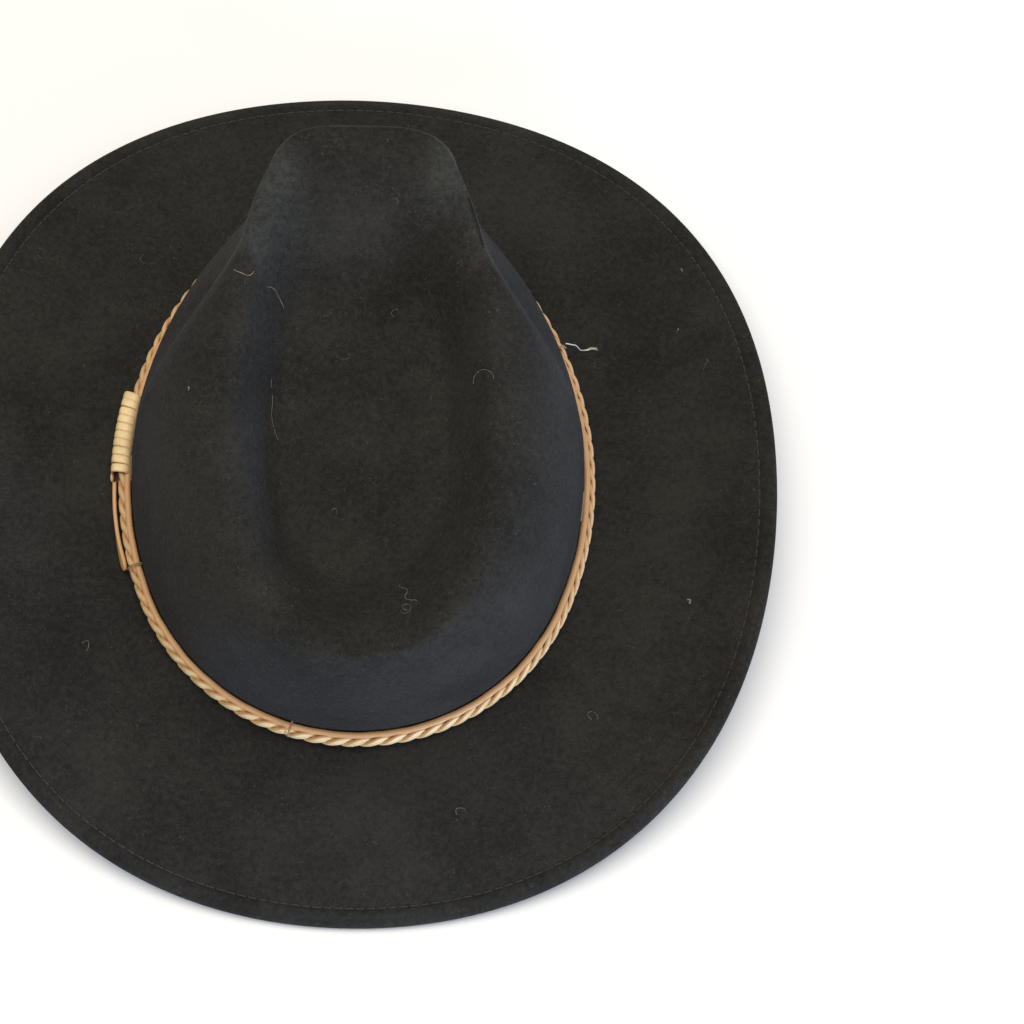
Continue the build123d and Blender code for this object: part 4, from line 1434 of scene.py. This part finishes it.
class HAT_OT_sweatband(bpy.types.Operator):
    """Leather sweatband, its stitches and the bow over its rear join"""

    bl_idname = "hat.sweatband"
    bl_label = "Sweatband"

    def execute(self, context):
        sizes = context.scene.hat_sweatband
        low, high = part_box("sweatband")
        leather = shared_material("sweatband_leather", leather_material)
        felt = context.scene.hat_felt.thickness
        angles = even_angles(head_oval, 360)
        bottom = (low.z - BREAK_HEIGHT) / CREST_HEIGHT
        top = bottom + (high.z - low.z) / (CREST_HEIGHT + CREST_SLOPE * OVAL_FRONT)
        levels = np.linspace(bottom, top, 22)
        outer = self.inset(levels, angles, felt + sizes.gap)
        inner = self.inset(levels, angles, felt + sizes.gap + sizes.thickness)
        crown = (outer[-1:] + inner[-1:]) / 2 + (0, 0, 0.35 * sizes.thickness)
        foot = (outer[:1] + inner[:1]) / 2 - (0, 0, 0.2 * sizes.thickness)
        points = np.concatenate([foot, outer, crown, inner[::-1]])
        quads = grid_quads(len(points), len(angles), wrap_rows=True)
        band = add_piece("sweatband_leather", points, quads, [], leather, "hat", "sweatband_leather")
        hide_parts("sweatband")
        self.stitches(felt + sizes.gap + sizes.thickness)
        self.bow(sizes.bow_thickness, leather)
        return {"FINISHED"}

    def inset(self, levels, angles, distance):
        """Rows of the crown's wall moved inwards, level, by a distance along each outline's normal."""
        wall = crown_wall(levels, angles)
        along = unit(np.roll(wall, -1, 1) - np.roll(wall, 1, 1))
        inwards = np.stack([-along[..., 1], along[..., 0], 0 * along[..., 0]], -1)
        return wall + unit(inwards) * distance

    def stitches(self, distance):
        """Straight stitches round the sweatband's lower edge, on its inner face."""
        low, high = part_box("sweatband_thread")
        count = 190
        angles = even_angles(head_oval, count)
        share = np.linspace(-0.33, 0.33, 5)
        spread = angles[:, None] + share[None, :] * (2 * pi / count)
        sink = 1 - np.sqrt(np.maximum(0, 1 - (share / 0.34) ** 2))
        plan = head_oval(spread, -distance - (0.14 - 0.4 * sink) * MM)
        height = np.full(plan.shape[:2] + (1,), (low.z + high.z) / 2)
        paths = np.concatenate([plan, height], -1)
        made = tube_set(paths, np.array([0, 0, 1.0]), 0.22 * MM, 6)
        tint = bpy.context.scene.hat_colours.hem_thread
        piece = thread_piece("sweatband_stitches", made, "hem_thread", tint, "thread")
        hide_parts("sweatband_thread")

    def bow(self, thickness, leather):
        """A flat bow: a strip on edge that runs a figure of eight, with a knot band round its middle."""
        low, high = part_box("rear_bow")
        middle, half = (low + high) / 2, (high - low) / 2
        turn = np.linspace(0, 2 * pi, 97)[:-1]
        reach = half.x - thickness / 2
        x = middle.x + reach * np.cos(turn)
        y = middle.y + (half.y - thickness / 2) * np.sin(2 * turn)
        path = np.stack([x, y, middle.z + 0.25 * MM * np.sin(turn)], -1)
        tangent = ring_tangent(path)
        upright = np.broadcast_to(np.array([0, 0, 1.0]), path.shape)
        profile = flat_profile(2 * half.z, thickness, 10)
        strip = carried(path, upright, np.cross(tangent, upright), profile)
        quads = grid_quads(len(path), len(profile), wrap_rows=True)
        knot_turn = np.linspace(0, 2 * pi, 41)[:-1]
        knot_path = np.stack([
            middle.x + 0 * knot_turn,
            middle.y + (half.y - 0.6 * MM) * np.cos(knot_turn),
            middle.z + (half.z + 0.25 * MM) * np.sin(knot_turn),
        ], -1)
        outwards = np.stack([0 * knot_turn, np.cos(knot_turn), np.sin(knot_turn)], -1)
        sideways = np.broadcast_to(np.array([1.0, 0, 0]), knot_path.shape)
        knot_profile = flat_profile(4.2 * MM, 0.9 * MM, 10)
        knot = carried(knot_path, sideways, outwards, knot_profile)
        knot_quads = grid_quads(len(knot_path), len(knot_profile), wrap_rows=True)
        for name, points, faces in (("bow_strip", strip, quads), ("bow_knot", knot, knot_quads)):
            piece = add_piece(name, points, faces, [], leather, "hat", "sweatband_leather")
            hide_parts("rear_bow")


class HAT_OT_inner_parts(bpy.types.Operator):
    """Finishes of the wire, its ferrule, the reed, the tapes and the blank tab"""

    bl_idname = "hat.inner_parts"
    bl_label = "Inner parts"

    def execute(self, context):
        colours = context.scene.hat_colours
        wire = wire_material()
        tape = woven_material("cotton_tape", colours.tape, TAPE_THREADS)
        finishes = {
            "brim_wire": wire,
            "wire_ferrule": wire,
            "sweatband_reed": reed_material(),
            "reed_tape": tape,
            "rear_seam_tape": tape,
            "size_tab": woven_material("woven_tab", colours.tab, TAB_THREADS),
        }
        for node, material in finishes.items():
            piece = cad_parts[node]
            if not piece.material_slots:
                raise RuntimeError(f"{node} has no material slot")
            for place in piece.material_slots:
                place.material = material
        return {"FINISHED"}


OPERATORS = (
    HAT_OT_stage,
    HAT_OT_tail,
    HAT_OT_felt_body,
    HAT_OT_felt_nap,
    HAT_OT_hem_stitching,
    HAT_OT_band_plait,
    HAT_OT_keeper,
    HAT_OT_tacks,
    HAT_OT_sweatband,
    HAT_OT_inner_parts,
)


class HAT_PT_panel(bpy.types.Panel):
    """Lists the hat's sizes, colours and pieces"""

    bl_idname = "HAT_PT_panel"
    bl_label = "Felt hat"
    bl_space_type = "VIEW_3D"
    bl_region_type = "UI"
    bl_category = "Felt hat"

    def draw(self, context):
        for group in GROUPS:
            box = self.layout.box()
            values = getattr(context.scene, group)
            for name in values.__annotations__:
                box.prop(values, name)
        for operator in OPERATORS:
            self.layout.operator(operator.bl_idname)


def register():
    for group, kind in GROUPS.items():
        bpy.utils.register_class(kind)
        setattr(bpy.types.Scene, group, PointerProperty(type=kind))
    for kind in OPERATORS + (HAT_PT_panel,):
        bpy.utils.register_class(kind)


def unregister():
    for kind in reversed(OPERATORS + (HAT_PT_panel,)):
        bpy.utils.unregister_class(kind)
    for group, kind in GROUPS.items():
        delattr(bpy.types.Scene, group)
        bpy.utils.unregister_class(kind)


def main():
    register()
    for operator in OPERATORS:
        name = operator.bl_idname.split(".")[1]
        getattr(bpy.ops.hat, name)()


if __name__ == "__main__":
    main()
